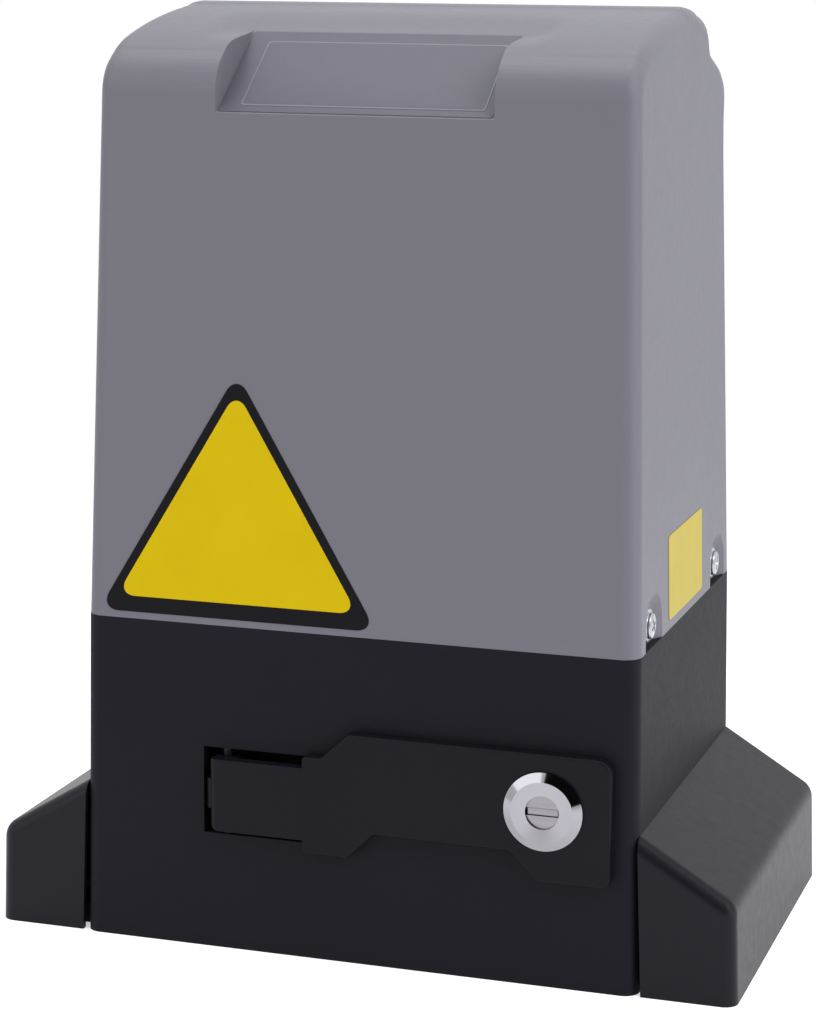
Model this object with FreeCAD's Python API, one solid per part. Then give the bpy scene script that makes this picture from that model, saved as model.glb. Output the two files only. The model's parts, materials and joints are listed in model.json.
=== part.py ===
import FreeCAD, Part
import math
import os

# Sliding gate motor, in millimetres. +X runs right along the front, +Y back towards the gate,
# +Z up. The origin is the centre of the base's underside.

# ---- fits ----
RUNNING_FIT = 0.05  # radial clearance of a turning or sliding fit
FACE_GAP = 0.3  # gap between flat faces that move past each other
SCREW_CLEARANCE = 0.3  # radial clearance of a screw in a plain hole
SHIELD_SET_BACK = 0.8  # how far a bearing's shields lie behind its faces
RACE_SHARE = 0.25  # part of a bearing's width that each of its rings takes

# ---- base casting ----
BASE_LOW = (113.0, 83.0)  # half width and half depth on the ground
BASE_HIGH = (110.8, 81.5)  # half width and half depth at the seam with the cover
SEAM_Z = 130.0
BASE_WALL = 4.5
FLOOR = 5.0
UPRIGHT_R = 6.0

# ---- foot covers ----
FOOT_X = 150.8
FOOT_LEAN = 1.4  # how far the outer end leans in by its top corner
FOOT_GROOVE = 1.4  # width on the ground of the groove beside the base
FOOT_SETBACK = 1.0  # how far the foot covers stay behind the base's front and back
FOOT_HALF_Y = BASE_LOW[1] - FOOT_SETBACK
FOOT_END_Z = 38.9
FOOT_SLOPE_TOP = (112.0, 61.8)
FOOT_NOSE_R = 8.0
FOOT_EDGE_R = 5.5
FOOT_WALL = 2.5
FOOT_RIB_YS = (-16.0, 16.0)
FOOT_RIB_X = (118.0, 138.0)

# ---- mounting flanges under the foot covers ----
FLANGE_GAP = 1.5  # from the flange's end to the foot cover's inside
FLANGE_SIDE_GAP = 5.5  # from the flange's sides to the foot cover's inside
FLANGE_X = FOOT_X - FOOT_WALL - FLANGE_GAP
FLANGE_HALF_Y = FOOT_HALF_Y - FOOT_WALL - FLANGE_SIDE_GAP
FLANGE_T = 8.0
SLOT_AT = (130.0, 55.0)
SLOT_R = 5.5
SLOT_LENGTH = 22.0
GUSSET_YS = (-32.0, 0.0, 32.0)
GUSSET_T = 5.0
GUSSET_TOE_X = 138.0
GUSSET_Z = 30.0

# ---- top cover ----
COVER_WALL = 3.0
COVER_SIDE_DRAFT = math.tan(math.radians(1.6))
COVER_EDGE_R = 6.5
COVER_FRONT_TOP = (-74.0, 345.6, 17.0)  # y, z and round of each corner of the side outline
COVER_CREST = (15.0, 365.2, 14.0)
COVER_KINK = (34.0, 348.3, 10.0)
COVER_SHOULDER = (74.0, 331.2, 12.0)
RECESS_X = (-57.0, 51.7)
RECESS_LOW = (-74.7, 325.5)
RECESS_HIGH = (-34.7, 354.3)
NOTCH_HALF = 13.0
NOTCH_TOP = 150.0
NOTCH_R = 4.0

# ---- cover screws, two on each side ----
COVER_SCREW_Y = 56.0
COVER_SCREW_Z = 137.4
COVER_SCREW_R = 3.0
COVER_HEAD_R = 6.5
COVER_HEAD_T = 2.8
SCREW_POCKET_R = 8.5  # round of the pocket's flat floor
SCREW_MOUTH_R = 13.5  # round of the pocket where it meets the cover's side
SCREW_POCKET_X = 107.8
COVER_PAD_X = 105.5
COVER_PAD_R = 13.5
LUG_INNER_X = 98.5
LUG_HALF_Y = 9.0
LUG_Z = (108.0, 149.0)

# ---- gasket under the cover ----
GASKET_INSET = 1.2
GASKET_W = 1.4
GASKET_H = 1.2

# ---- output shaft and its bearings ----
OUT_X = -52.0
OUT_Z = 62.6
SHAFT_R = 10.0
SHAFT_Y = (-46.0, 112.0)
SHOULDER_R = 12.0
SHOULDER_Y = (-32.0, -14.0)
FRONT_BEARING_Y = (-44.0, -32.1)
FRONT_BEARING_R = 21.0
REAR_BEARING_Y = (36.0, 50.0)
REAR_BEARING_R = 23.5
SEAL_Y = (71.0, 79.0)
SEAL_R = 16.0
SEAL_BOSS_R = 21.0

# ---- drive pinion ----
PINION_MODULE = 4.0
PINION_TEETH = 17
PINION_Y = (86.0, 110.0)
PRESSURE = math.radians(20.0)
KEY_W = 6.0
KEY_DEPTH = 3.5  # how far the key sits in the shaft, and stands out of it
PINION_WASHER_R = 15.0
PINION_WASHER_T = 3.0
PINION_BOLT_R = 4.0
PINION_BOLT_LENGTH = 26.0
PINION_BOLT_HEAD = (6.5, 5.5)  # radius to the flats and height

# ---- worm gear ----
WORM_MODULE = 2.5
WHEEL_TEETH = 30
WHEEL_HALF_FACE = 6.0
WHEEL_HUB_R = 18.0
WORM_PITCH_R = 12.5
WORM_TURNS = 4
WORM_HALF_LENGTH = 19.0
FLANK_RELIEF = 0.3  # how far each flank is thinned so the teeth run clear
TOOTH_CLEARANCE = 0.25  # extra depth of a tooth space, in modules

# ---- clutch on the output shaft ----
CLUTCH_Y = (6.1, 13.1)
CLUTCH_R = 27.0
CLUTCH_PIN_R = 2.0
CLUTCH_PIN_HALF = 20.0
PUSH_ROD_R = 3.0
PUSH_ROD_TIP = 3.4  # how far the rod reaches past the cross pin
PUSH_ROD_ROOM = 0.9  # room left behind the rod when it is pushed in
CLUTCH_STROKE = 4.6
SPRING_MEAN_R = 14.0
SPRING_WIRE_R = 1.4
SPRING_TURNS = 3
RETAINER_Y = (31.0, 35.9)
RETAINER_R = 17.0

# ---- gearcase ----
GEARCASE_X = (-98.0, -4.0)
GEARCASE_Y = (-30.0, 52.0)
GEARCASE_TOP = 112.0
GEARCASE_R = 6.0
GEARCASE_CAVITY_R = 43.0
GEARCASE_CAVITY_BACK = 34.0
TUNNEL_X = (-20.0, 22.0)
TUNNEL_HALF_Y = 24.0
TUNNEL_R = 16.6
GEARCASE_BEARING_Z = (10.0, 20.0)
LIP = 2.0  # shoulder that a bearing stops against
LUG_T = 10.0
REAR_LUG_XS = (-86.0, -16.0)
REAR_LUG_Y = 59.0
SIDE_LUG_X = 31.0
GEARCASE_LUG_R = 8.0
CASE_COVER_T = 6.0
CASE_BOSS_R = 27.0
CASE_BOSS_Y = -46.0
CASE_SCREW_XS = (-91.0, -11.0)
CASE_SCREW_ZS = (13.0, 105.0)
CASE_SCREW_R = 2.5
CASE_SCREW_DEPTH = 12.0
CASE_HEAD = (4.5, 4.0)
LUG_SCREW_R = 3.0
LUG_HEAD = (5.0, 4.5)
LUG_SCREW_REACH = 3.0  # how far a lug screw runs into the base floor

# ---- motor ----
MOTOR_X = OUT_X + WORM_MODULE * WHEEL_TEETH / 2 + WORM_PITCH_R
MOTOR_R = 52.0
MOTOR_WALL = 4.0
MOTOR_FLANGE_T = 8.0
MOTOR_Z = (GEARCASE_TOP + MOTOR_FLANGE_T, 244.0)
MOTOR_PLATE = 12.0
CAP_T = 14.0
CAP_EDGE_R = 3.0
BOLT_CLEARANCE = 2.5  # between the motor tube and the bolts beside it
THROUGH_BOLT_R = 2.5
THROUGH_BOLT_AT = MOTOR_R + BOLT_CLEARANCE + THROUGH_BOLT_R
THROUGH_HEAD = (4.5, 4.0)
BOLT_LOBE_R = 7.0
MOTOR_BEARING_R = 16.0
MOTOR_BEARING_W = 10.0
MOTOR_SHAFT_R = 6.0
MOTOR_SHAFT_Z = (10.5, 253.0)
ROTOR_SHAFT_R = 8.0
ROTOR_SHAFT_Z = (135.0, 232.0)
STATOR_BORE_R = 30.0
STATOR_Z = (148.0, 216.0)
WINDING_H = 9.0
AIR_GAP = 0.5

# ---- release lever ----
PIN_X = OUT_X
PIN_Y = -79.5
PIN_R = 2.0
PIN_SEAT = 3.6  # how far the pin sits in the floor and the roof of the pocket
POCKET_X = (-61.4, -12.0)
POCKET_Z = (46.6, 81.4)
POCKET_BACK_Y = -66.0
LEVER_FRONT_Y = -87.3
LEVER_T = 4.5
LEVER_EDGE_R = 1.0
TAIL_X = (-57.4, -16.0)
TAIL_Z = (49.1, 78.0)
TAIL_END_R = 3.0
KNUCKLE_R = 5.0
NOSE_R = 3.0
NOSE_AT = 6.0
LEVER_CORNERS = (  # x, z and round, going round the blade as seen from the front
    (-19.2, 43.8, 2.0),
    (-0.5, 43.8, 3.0),
    (10.0, 54.3, 3.0),
    (64.0, 53.8, 3.0),
    (75.0, 42.8, 3.0),
    (103.0, 42.8, 3.0),
    (103.0, 92.4, 6.0),
    (-0.5, 92.9, 3.0),
    (-11.4, 82.5, 3.0),
    (-19.2, 82.5, 1.5),
)

# ---- release plunger ----
PLUNGER_HEAD_R = 6.0
PLUNGER_HEAD_T = 3.0
PLUNGER_R = 4.0
PLUNGER_END_Y = -51.5
GLAND_R = 8.0
GLAND_END_Y = -56.0

# ---- key lock on the lever ----
LOCK_X = 77.2
LOCK_Z = 70.8
LOCK_FLANGE_R = 15.3
LOCK_RIM_T = 1.0
LOCK_FACE_R = 12.0
LOCK_BEVEL_T = 2.0
LOCK_DISH = 0.7
LOCK_BARREL_R = 9.5
PLUG_R = 6.5
PLUG_RECESS = 1.0  # how far the plug lies behind the lock's front edge
KEYWAY_H = 3.1
KEYWAY_DEPTH = 4.0
LOCK_END_Y = -76.9
LOCK_NUT_R = 12.0
LOCK_NUT_T = 3.5
CAM_LENGTH = 18.0
CAM_HALF = 6.0
CAM_TIP_HALF = 5.4
CAM_T = 2.5
CAM_STUD_R = 3.0
STRIKE_REACH = 1.5  # how far the opening in the base clears the cam and the nut
STRIKE_R = 6.0

# ---- run capacitor ----
CAPACITOR_R = 20.0
CAPACITOR_GAP = 8.0
CAPACITOR_X = MOTOR_X - MOTOR_R - CAPACITOR_GAP - CAPACITOR_R
CAPACITOR_Z = (135.0, 215.0)
CLAMP_Z = (165.0, 185.0)
CLAMP_T = 1.5

# ---- control board ----
BRACKET_X = 72.0
SHEET = 2.0
BRACKET_HALF_Y = 62.0
BRACKET_Z = (118.0, 292.0)
SHELF_X = 82.0
STANDOFF_H = 6.0
STANDOFF_R = 3.0
STANDOFF_Y = 50.0
STANDOFF_ZS = (156.0, 284.0)
BOARD_T = 1.6
BOARD_HALF_Y = 55.0
BOARD_Z = (150.0, 290.0)
RELAY = (15.0, 16.0, 28.0)  # out from the board, across it, up it
RELAY_Z = 246.0
RELAY_YS = (-34.0, -12.0, 10.0, 32.0)
TERMINAL = (12.0, 22.0, 14.0)
TERMINAL_Z = 154.0
TERMINAL_YS = (-39.0, -13.0, 13.0, 39.0)

# ---- transformer ----
TRANSFORMER_X = (40.0, 90.0)
TRANSFORMER_Y = (-66.0, -26.0)
TRANSFORMER_H = 52.0
COIL_INSET = 11.0
COIL_SWELL = 6.0

# ---- limit switch ----
SWITCH_X = (-72.0, -32.0)
SWITCH_BACK_Y = 75.0
SWITCH_Z = (122.0, 136.0)
SWITCH_FOOT_X = -86.0
SWITCH_FOOT_Y = 34.0
STEM_Y = 68.0
STEM_PIN_R = 2.5
STEM_PIN_DEPTH = 8.0
STEM_HUB_R = 6.0
STEM_HUB_T = 8.0
STEM_R = 3.0
STEM_END_Y = 86.0
WHISKER_R = 4.8
WHISKER_TIP_R = 2.9
WHISKER_END_Y = 140.0

# ---- cable entry ----
CABLE_AT = (76.0, 40.0)
CABLE_R = 12.5
GROMMET_BORE_R = 7.0
GROMMET_FLANGE = (15.5, 2.5)
GROMMET_LIFT = 0.5  # how far the grommet stays off the ground

ALONG = {
    "X": FreeCAD.Vector(1, 0, 0),
    "Y": FreeCAD.Vector(0, 1, 0),
    "Z": FreeCAD.Vector(0, 0, 1),
}
SIDES = (-1, 1)


# ---------------------------------------------------------------- drawing helpers


def at(axis, a, b, t):
    """Point at t along the named axis, with a and b on the other two in XYZ order."""
    if axis == "X":
        return FreeCAD.Vector(t, a, b)
    if axis == "Y":
        return FreeCAD.Vector(a, t, b)
    return FreeCAD.Vector(a, b, t)


def block(x, y, z):
    """Box between the low and high ends given for each axis, in either order."""
    low = FreeCAD.Vector(min(x), min(y), min(z))
    size = FreeCAD.Vector(max(x), max(y), max(z)) - low
    return Part.makeBox(size.x, size.y, size.z, low)


def rod(axis, a, b, span, radius):
    """Cylinder along the named axis over span."""
    low = min(span)
    return Part.makeCylinder(radius, max(span) - low, at(axis, a, b, low), ALONG[axis])


def ring(axis, a, b, span, outer, inner):
    """Cylinder with a round hole through it."""
    return rod(axis, a, b, span, outer).cut(rod(axis, a, b, span, inner))


def turned(axis, a, b, profile):
    """Solid turned about the named axis from (radius, distance along the axis) corners."""
    ahead = [at(axis, a + radius, b, t) for radius, t in profile]
    face = Part.Face(Part.makePolygon(ahead + ahead[:1]))
    return face.revolve(at(axis, a, b, 0), ALONG[axis], 360)


def round_corner(before, corner, after, radius):
    """Start, middle and end of the round at a corner of a flat outline."""
    back = (before - corner).normalize()
    on = (after - corner).normalize()
    half = back.getAngle(on) / 2
    reach = radius / math.tan(half)
    middle = (back + on).normalize() * (radius / math.sin(half) - radius)
    return corner + back * reach, corner + middle, corner + on * reach


def outline(axis, level, corners):
    """Closed outline across the named axis from (a, b, round) corners."""
    points = [at(axis, corner[0], corner[1], level) for corner in corners]
    rounds = []
    for i, corner in enumerate(corners):
        after = points[(i + 1) % len(points)]
        rounds.append(round_corner(points[i - 1], points[i], after, corner[2]))
    edges = []
    for i, (start, middle, end) in enumerate(rounds):
        if corners[i][2] > 0:
            edges.append(Part.Arc(start, middle, end).toShape())
        following = rounds[(i + 1) % len(rounds)][0]
        if end.distanceToPoint(following) > 1e-6:
            edges.append(Part.makeLine(end, following))
    return Part.Wire(edges)


def prism(axis, span, corners):
    """Straight solid along the named axis over an outline of (a, b, round) corners."""
    face = Part.Face(outline(axis, span[0], corners))
    return face.extrude(ALONG[axis] * (span[1] - span[0]))


def inset(corners, distance):
    """Outline moved inwards by distance, its rounds kept concentric."""
    count = len(corners)
    points = [FreeCAD.Vector(a, b, 0) for a, b, _ in corners]
    area = sum(points[i - 1].cross(points[i]).z for i in range(count))
    turn = 1 if area > 0 else -1
    moved = []
    for i in range(count):
        come = (points[i] - points[i - 1]).normalize()
        leave = (points[(i + 1) % count] - points[i]).normalize()
        normals = FreeCAD.Vector(-come.y - leave.y, come.x + leave.x, 0) * turn
        spot = points[i] + normals * (distance / (1 + come.dot(leave)))
        convex = come.cross(leave).z * turn > 0
        radius = corners[i][2] - distance if convex else corners[i][2] + distance
        moved.append((spot.x, spot.y, max(radius, 0) if corners[i][2] else 0))
    return moved


def rectangle(a, b, radius):
    """Corners of a rounded rectangle between two pairs of ends."""
    return [
        (a[0], b[0], radius),
        (a[1], b[0], radius),
        (a[1], b[1], radius),
        (a[0], b[1], radius),
    ]


def tapered(low, high, z):
    """Four-sided block on the Z axis whose half sizes go from low to high."""
    wedge = Part.makeWedge(
        -low[0], z[0], -low[1], -high[1], -high[0], low[0], z[1], low[1], high[1], high[0]
    )
    wedge.rotate(FreeCAD.Vector(0, 0, 0), ALONG["X"], 90)
    return wedge


def upright_edges(shape):
    """Edges that run more up than along."""
    found = []
    for edge in shape.Edges:
        run = edge.Vertexes[-1].Point - edge.Vertexes[0].Point
        if abs(run.z) > math.hypot(run.x, run.y):
            found.append(edge)
    return found


def bearing(axis, a, b, span, bore, outer):
    """Ball bearing drawn as one ring with its shields set back from both faces."""
    low, high = span
    shield = SHIELD_SET_BACK
    race = (outer - bore) * RACE_SHARE
    profile = [
        (bore, low),
        (bore + race, low),
        (bore + race, low + shield),
        (outer - race, low + shield),
        (outer - race, low),
        (outer, low),
        (outer, high),
        (outer - race, high),
        (outer - race, high - shield),
        (bore + race, high - shield),
        (bore + race, high),
        (bore, high),
    ]
    return turned(axis, a, b, profile)


def hexagon(a, b, flat_r):
    """Corners of a hexagon with the given radius to its flats."""
    tip = flat_r / math.cos(math.pi / 6)
    turns = [math.pi / 3 * i for i in range(6)]
    return [(a + tip * math.cos(t), b + tip * math.sin(t), 0) for t in turns]


def fused(shapes):
    """One solid from several that touch."""
    return shapes[0].multiFuse(shapes[1:]).removeSplitter()


# ---------------------------------------------------------------- gear teeth


def involute_point(base_r, radius, turn):
    """Point where an involute of the base circle reaches a radius, turned about the centre."""
    roll = math.sqrt(max((radius / base_r) ** 2 - 1, 0))
    angle = roll - math.atan(roll) + turn
    return radius * math.cos(angle), radius * math.sin(angle)


def gear_outline(level, module, teeth, first_space, relief=0.0):
    """Involute gear outline across Y, centred on the output axis.

    first_space is the angle from +X towards +Z of the middle of one tooth space.
    """
    pitch_r = module * teeth / 2
    base_r = pitch_r * math.cos(PRESSURE)
    tip_r = pitch_r + module
    root_r = pitch_r - module * (1 + TOOTH_CLEARANCE)
    step = 2 * math.pi / teeth
    lift = math.tan(PRESSURE) - PRESSURE
    half_tooth = step / 4 + lift - relief / pitch_r
    flank_radii = [max(base_r, root_r) + (tip_r - max(base_r, root_r)) * i / 3 for i in range(4)]
    edges = []
    for i in range(teeth):
        centre = first_space + step * (i + 0.5)
        sides = []
        for side in SIDES:
            points = []
            for radius in flank_radii:
                x, z = involute_point(base_r, radius, -half_tooth)
                swung = math.atan2(z, x) * -side + centre
                points.append((radius, swung))
            sides.append([spot(radius, swung, level) for radius, swung in points])
            sides[-1].insert(0, spot(root_r, points[0][1], level))
        rising, falling = sides
        gap_mid = spot(root_r, centre + step / 2, level)
        tip_mid = spot(tip_r, centre, level)
        edges += flank(rising)
        edges.append(Part.Arc(rising[-1], tip_mid, falling[-1]).toShape())
        edges += flank(falling)[::-1]
        following = root_start(base_r, flank_radii[0], half_tooth, centre + step, root_r, level)
        edges.append(Part.Arc(falling[0], gap_mid, following).toShape())
    return Part.Wire(Part.__sortEdges__(edges))


def spot(radius, angle, level):
    """Point round the output axis at an angle from +X towards +Z."""
    return FreeCAD.Vector(
        OUT_X + radius * math.cos(angle), level, OUT_Z + radius * math.sin(angle)
    )


def root_start(base_r, radius, half_tooth, centre, root_r, level):
    """Foot of a tooth's first flank on the root circle."""
    x, z = involute_point(base_r, radius, -half_tooth)
    return spot(root_r, math.atan2(z, x) + centre, level)


def flank(points):
    """Edges of one tooth flank, from its foot on the root circle to its tip."""
    curve = Part.BSplineCurve()
    curve.interpolate(points[1:])
    edges = [curve.toShape()]
    if points[0].distanceToPoint(points[1]) > 1e-6:
        edges.insert(0, Part.makeLine(points[0], points[1]))
    return edges


# ---------------------------------------------------------------- base


def base_half(z):
    """Half width and half depth of the base's outside at a height."""
    share = z / SEAM_Z
    return [low + (high - low) * share for low, high in zip(BASE_LOW, BASE_HIGH)]


def base_form():
    """Outside of the base casting as a full block."""
    form = tapered(BASE_LOW, BASE_HIGH, (0, SEAM_Z))
    return form.makeFillet(UPRIGHT_R, upright_edges(form))


def base_cavity():
    """Hollow of the base, open at the seam."""
    low = [half - BASE_WALL for half in base_half(FLOOR)]
    high = [half - BASE_WALL for half in base_half(SEAM_Z)]
    form = tapered(low, high, (FLOOR, SEAM_Z))
    return form.makeFillet(UPRIGHT_R - BASE_WALL / 2, upright_edges(form))


def slot(x, y):
    """Fixing slot through a flange, long towards the gate."""
    straight = SLOT_LENGTH / 2 - SLOT_R
    ends = [rod("Z", x, y + side * straight, (0, FLANGE_T), SLOT_R) for side in SIDES]
    middle = block((x - SLOT_R, x + SLOT_R), (y - straight, y + straight), (0, FLANGE_T))
    return fused([middle] + ends)


def flange(side):
    """Mounting flange with its gussets and slots, against one side of the base."""
    root_x = side * (BASE_HIGH[0] - BASE_WALL / 2)
    corners = rectangle((root_x, side * FLANGE_X), (-FLANGE_HALF_Y, FLANGE_HALF_Y), 0)
    shapes = [prism("Z", (0, FLANGE_T), corners)]
    for y in GUSSET_YS:
        rib = (
            (root_x, FLANGE_T / 2, 0),
            (side * GUSSET_TOE_X, FLANGE_T / 2, 0),
            (side * GUSSET_TOE_X, FLANGE_T, 0),
            (side * BASE_LOW[0], GUSSET_Z, 0),
            (root_x, GUSSET_Z, 0),
        )
        shapes.append(prism("Y", (y - GUSSET_T / 2, y + GUSSET_T / 2), rib))
    slots = [slot(side * SLOT_AT[0], end * SLOT_AT[1]) for end in SIDES]
    return fused(shapes).cut(Part.makeCompound([base_form()] + slots))


def gasket_ring():
    """Gasket set in the base's rim."""
    outer = rim_corners(GASKET_INSET)
    inner = rim_corners(GASKET_INSET + GASKET_W)
    span = (SEAM_Z - GASKET_H, SEAM_Z)
    return prism("Z", span, outer).cut(prism("Z", span, inner))


def rim_corners(distance):
    """Outline of the base's rim moved inwards."""
    half_x, half_y = BASE_HIGH
    return inset(rectangle((-half_x, half_x), (-half_y, half_y), UPRIGHT_R), distance)


def strike_opening():
    """Opening in the front wall behind the key lock."""
    nut_r = LOCK_NUT_R / math.cos(math.pi / 6) + STRIKE_REACH
    cam_r = CAM_LENGTH + STRIKE_REACH
    corners = rectangle(
        (LOCK_X - nut_r, LOCK_X + cam_r), (LOCK_Z - nut_r, LOCK_Z + cam_r), STRIKE_R
    )
    return prism("Y", (-BASE_LOW[1], -BASE_LOW[1] + 3 * BASE_WALL), corners)


def base_housing():
    """Die-cast base: tub, lever pocket, cover lugs, shelf and shaft boss."""
    pocket_walls = block(
        (POCKET_X[0] - BASE_WALL, POCKET_X[1] + BASE_WALL),
        (-BASE_HIGH[1] + BASE_WALL / 2, POCKET_BACK_Y + BASE_WALL),
        (POCKET_Z[0] - BASE_WALL, POCKET_Z[1] + BASE_WALL),
    )
    added = [
        base_form().cut(base_cavity()),
        pocket_walls,
        rod("Y", OUT_X, OUT_Z, (POCKET_BACK_Y, GLAND_END_Y), GLAND_R),
        rod("Y", OUT_X, OUT_Z, (SEAL_Y[0] - LIP, BASE_HIGH[1] - LIP), SEAL_BOSS_R),
    ]
    for side in SIDES:
        for end in SIDES:
            lug_y = (end * COVER_SCREW_Y - LUG_HALF_Y, end * COVER_SCREW_Y + LUG_HALF_Y)
            wall_x = side * (BASE_HIGH[0] - BASE_WALL / 2)
            added.append(block((side * LUG_INNER_X, side * COVER_PAD_X), lug_y, LUG_Z))
            root_z = (LUG_Z[0], SEAM_Z - 2 * GASKET_H)
            added.append(block((side * LUG_INNER_X, wall_x), lug_y, root_z))
            if side > 0:
                shelf_z = (BRACKET_Z[0] - LUG_T, BRACKET_Z[0])
                added.append(block((SHELF_X, wall_x), lug_y, shelf_z))
    shape = fused(added)
    cuts = [
        block(POCKET_X, (-BASE_LOW[1], POCKET_BACK_Y), POCKET_Z),
        pin_shape(),
        rod("Y", OUT_X, OUT_Z, (POCKET_BACK_Y, GLAND_END_Y), PLUNGER_R + RUNNING_FIT),
        strike_opening(),
        rod("Y", OUT_X, OUT_Z, (SEAL_Y[0] - LIP, SEAL_Y[1]), SEAL_R),
        rod("Y", OUT_X, OUT_Z, (SEAL_Y[1], BASE_LOW[1]), SHAFT_R + LIP),
        rod("Z", CABLE_AT[0], CABLE_AT[1], (0, FLOOR), CABLE_R),
        gasket_ring(),
        cover_screw_set(0, COVER_SCREW_R),
        lug_screw_set(LUG_SCREW_R),
    ]
    return shape.cut(Part.makeCompound(cuts))


def pin_shape():
    """Lever hinge pin, set in the floor and the roof of the pocket."""
    span = (POCKET_Z[0] - PIN_SEAT, POCKET_Z[1] + PIN_SEAT)
    return rod("Z", PIN_X, PIN_Y, span, PIN_R)


def foot_cover(side):
    """Hollow foot cover over one flange, open below and towards the base."""
    corners = (
        (side * (BASE_HIGH[0] - BASE_WALL), 0, 0),
        (side * FOOT_X, 0, 0),
        (side * (FOOT_X - FOOT_LEAN), FOOT_END_Z, FOOT_NOSE_R),
        (side * FOOT_SLOPE_TOP[0], FOOT_SLOPE_TOP[1], 0),
        (side * (BASE_HIGH[0] - BASE_WALL), FOOT_SLOPE_TOP[1], 0),
    )
    solid = prism("Y", (-FOOT_HALF_Y, FOOT_HALF_Y), corners)
    seat_z = FOOT_SLOPE_TOP[1]
    groove_low = (BASE_LOW[0] + FOOT_GROOVE, BASE_LOW[1])
    solid = solid.cut(tapered(groove_low, base_half(seat_z), (0, seat_z)))
    outer_half_x = (BASE_LOW[0] + FOOT_X) / 2
    edges = []
    for edge in solid.Edges:
        box = edge.BoundBox
        on_end = box.YLength < 1e-3 and box.ZMax > 1e-3
        if on_end and max(side * box.XMin, side * box.XMax) > outer_half_x:
            edges.append(edge)
    solid = solid.makeFillet(FOOT_EDGE_R, edges)
    root_x = BASE_HIGH[0] - BASE_WALL - FOOT_WALL
    inner = (
        (side * root_x, -FOOT_WALL, 0),
        (side * FOOT_X, -FOOT_WALL, 0),
        (side * (FOOT_X - FOOT_LEAN), FOOT_END_Z, FOOT_NOSE_R),
        (side * root_x, foot_slope_z(root_x), 0),
    )
    reach = FOOT_HALF_Y - FOOT_WALL
    solid = solid.cut(prism("Y", (-reach, reach), inset(inner, FOOT_WALL)))
    ribs = []
    for y in FOOT_RIB_YS:
        rib = (
            (side * FOOT_RIB_X[0], FLANGE_T, 0),
            (side * FOOT_RIB_X[1], FLANGE_T, 0),
            (side * FOOT_RIB_X[1], foot_slope_z(FOOT_RIB_X[1]) - FOOT_WALL / 2, 0),
            (side * FOOT_RIB_X[0], foot_slope_z(FOOT_RIB_X[0]) - FOOT_WALL / 2, 0),
        )
        ribs.append(prism("Y", (y - FOOT_WALL / 2, y + FOOT_WALL / 2), rib))
    return fused([solid] + ribs)


def foot_slope_z(x):
    """Height of a foot cover's sloping top at a distance from the middle."""
    run = FOOT_X - FOOT_LEAN - FOOT_SLOPE_TOP[0]
    return FOOT_SLOPE_TOP[1] - (x - FOOT_SLOPE_TOP[0]) * (FOOT_SLOPE_TOP[1] - FOOT_END_Z) / run


# ---------------------------------------------------------------- top cover


def cover_half_x(z):
    """Half width of the cover's outside at a height."""
    return BASE_HIGH[0] - (z - SEAM_Z) * COVER_SIDE_DRAFT


def cover_corners(bottom):
    """Cover outline from the side, its front and back carried down to bottom."""
    front_y = -BASE_HIGH[1]
    back_y = BASE_HIGH[1]
    drop = bottom - SEAM_Z
    front_lean = (COVER_FRONT_TOP[0] - front_y) / (COVER_FRONT_TOP[1] - SEAM_Z)
    back_lean = (COVER_SHOULDER[0] - back_y) / (COVER_SHOULDER[1] - SEAM_Z)
    return [
        (front_y + drop * front_lean, bottom, 0),
        (back_y + drop * back_lean, bottom, 0),
        COVER_SHOULDER,
        COVER_KINK,
        COVER_CREST,
        COVER_FRONT_TOP,
    ]


def cover_form(bottom, wall):
    """Cover's outside, or with a wall its inside, as a full block."""
    width = (-BASE_LOW[0], BASE_LOW[0])
    body = prism("X", width, inset(cover_corners(bottom), wall))
    top = COVER_CREST[1]
    low_half = cover_half_x(bottom) - wall
    high_half = cover_half_x(top) - wall
    body = body.common(tapered((low_half, BASE_LOW[0]), (high_half, BASE_LOW[0]), (bottom, top)))
    foot = body.BoundBox.ZMin
    edges = []
    for edge in body.Edges:
        middle = edge.valueAt((edge.FirstParameter + edge.LastParameter) / 2)
        on_side = abs(abs(middle.x) - cover_half_x(middle.z) + wall) < 1e-3
        if on_side and middle.z > foot + 1e-3:
            edges.append(edge)
    return body.makeFillet(COVER_EDGE_R - wall, edges)


def recess(wall):
    """Space in front of the sloping label recess, or with a wall behind it."""
    low = FreeCAD.Vector(RECESS_LOW[0], RECESS_LOW[1], 0)
    high = FreeCAD.Vector(RECESS_HIGH[0], RECESS_HIGH[1], 0)
    along = (high - low).normalize()
    out = FreeCAD.Vector(-along.y, along.x, 0)
    reach = 5 * wall
    points = (
        low - out * wall - along * reach,
        high - out * wall + along * reach,
        high + out * COVER_FRONT_TOP[2] + along * reach,
        low + out * COVER_FRONT_TOP[2] - along * reach,
    )
    span = (RECESS_X[0] - wall, RECESS_X[1] + wall)
    return prism("X", span, [(point.x, point.y, 0) for point in points])


def screw_pad(side, end):
    """Round-topped pad inside the cover behind a screw pocket."""
    y = end * COVER_SCREW_Y
    ends = (side * COVER_PAD_X, side * (COVER_PAD_X + COVER_WALL))
    width = (y - COVER_PAD_R, y + COVER_PAD_R)
    head = rod("X", y, COVER_SCREW_Z, ends, COVER_PAD_R)
    head = head.common(block(ends, width, (SEAM_Z, COVER_SCREW_Z + COVER_PAD_R)))
    return fused([head, block(ends, width, (SEAM_Z, COVER_SCREW_Z))])


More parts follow.
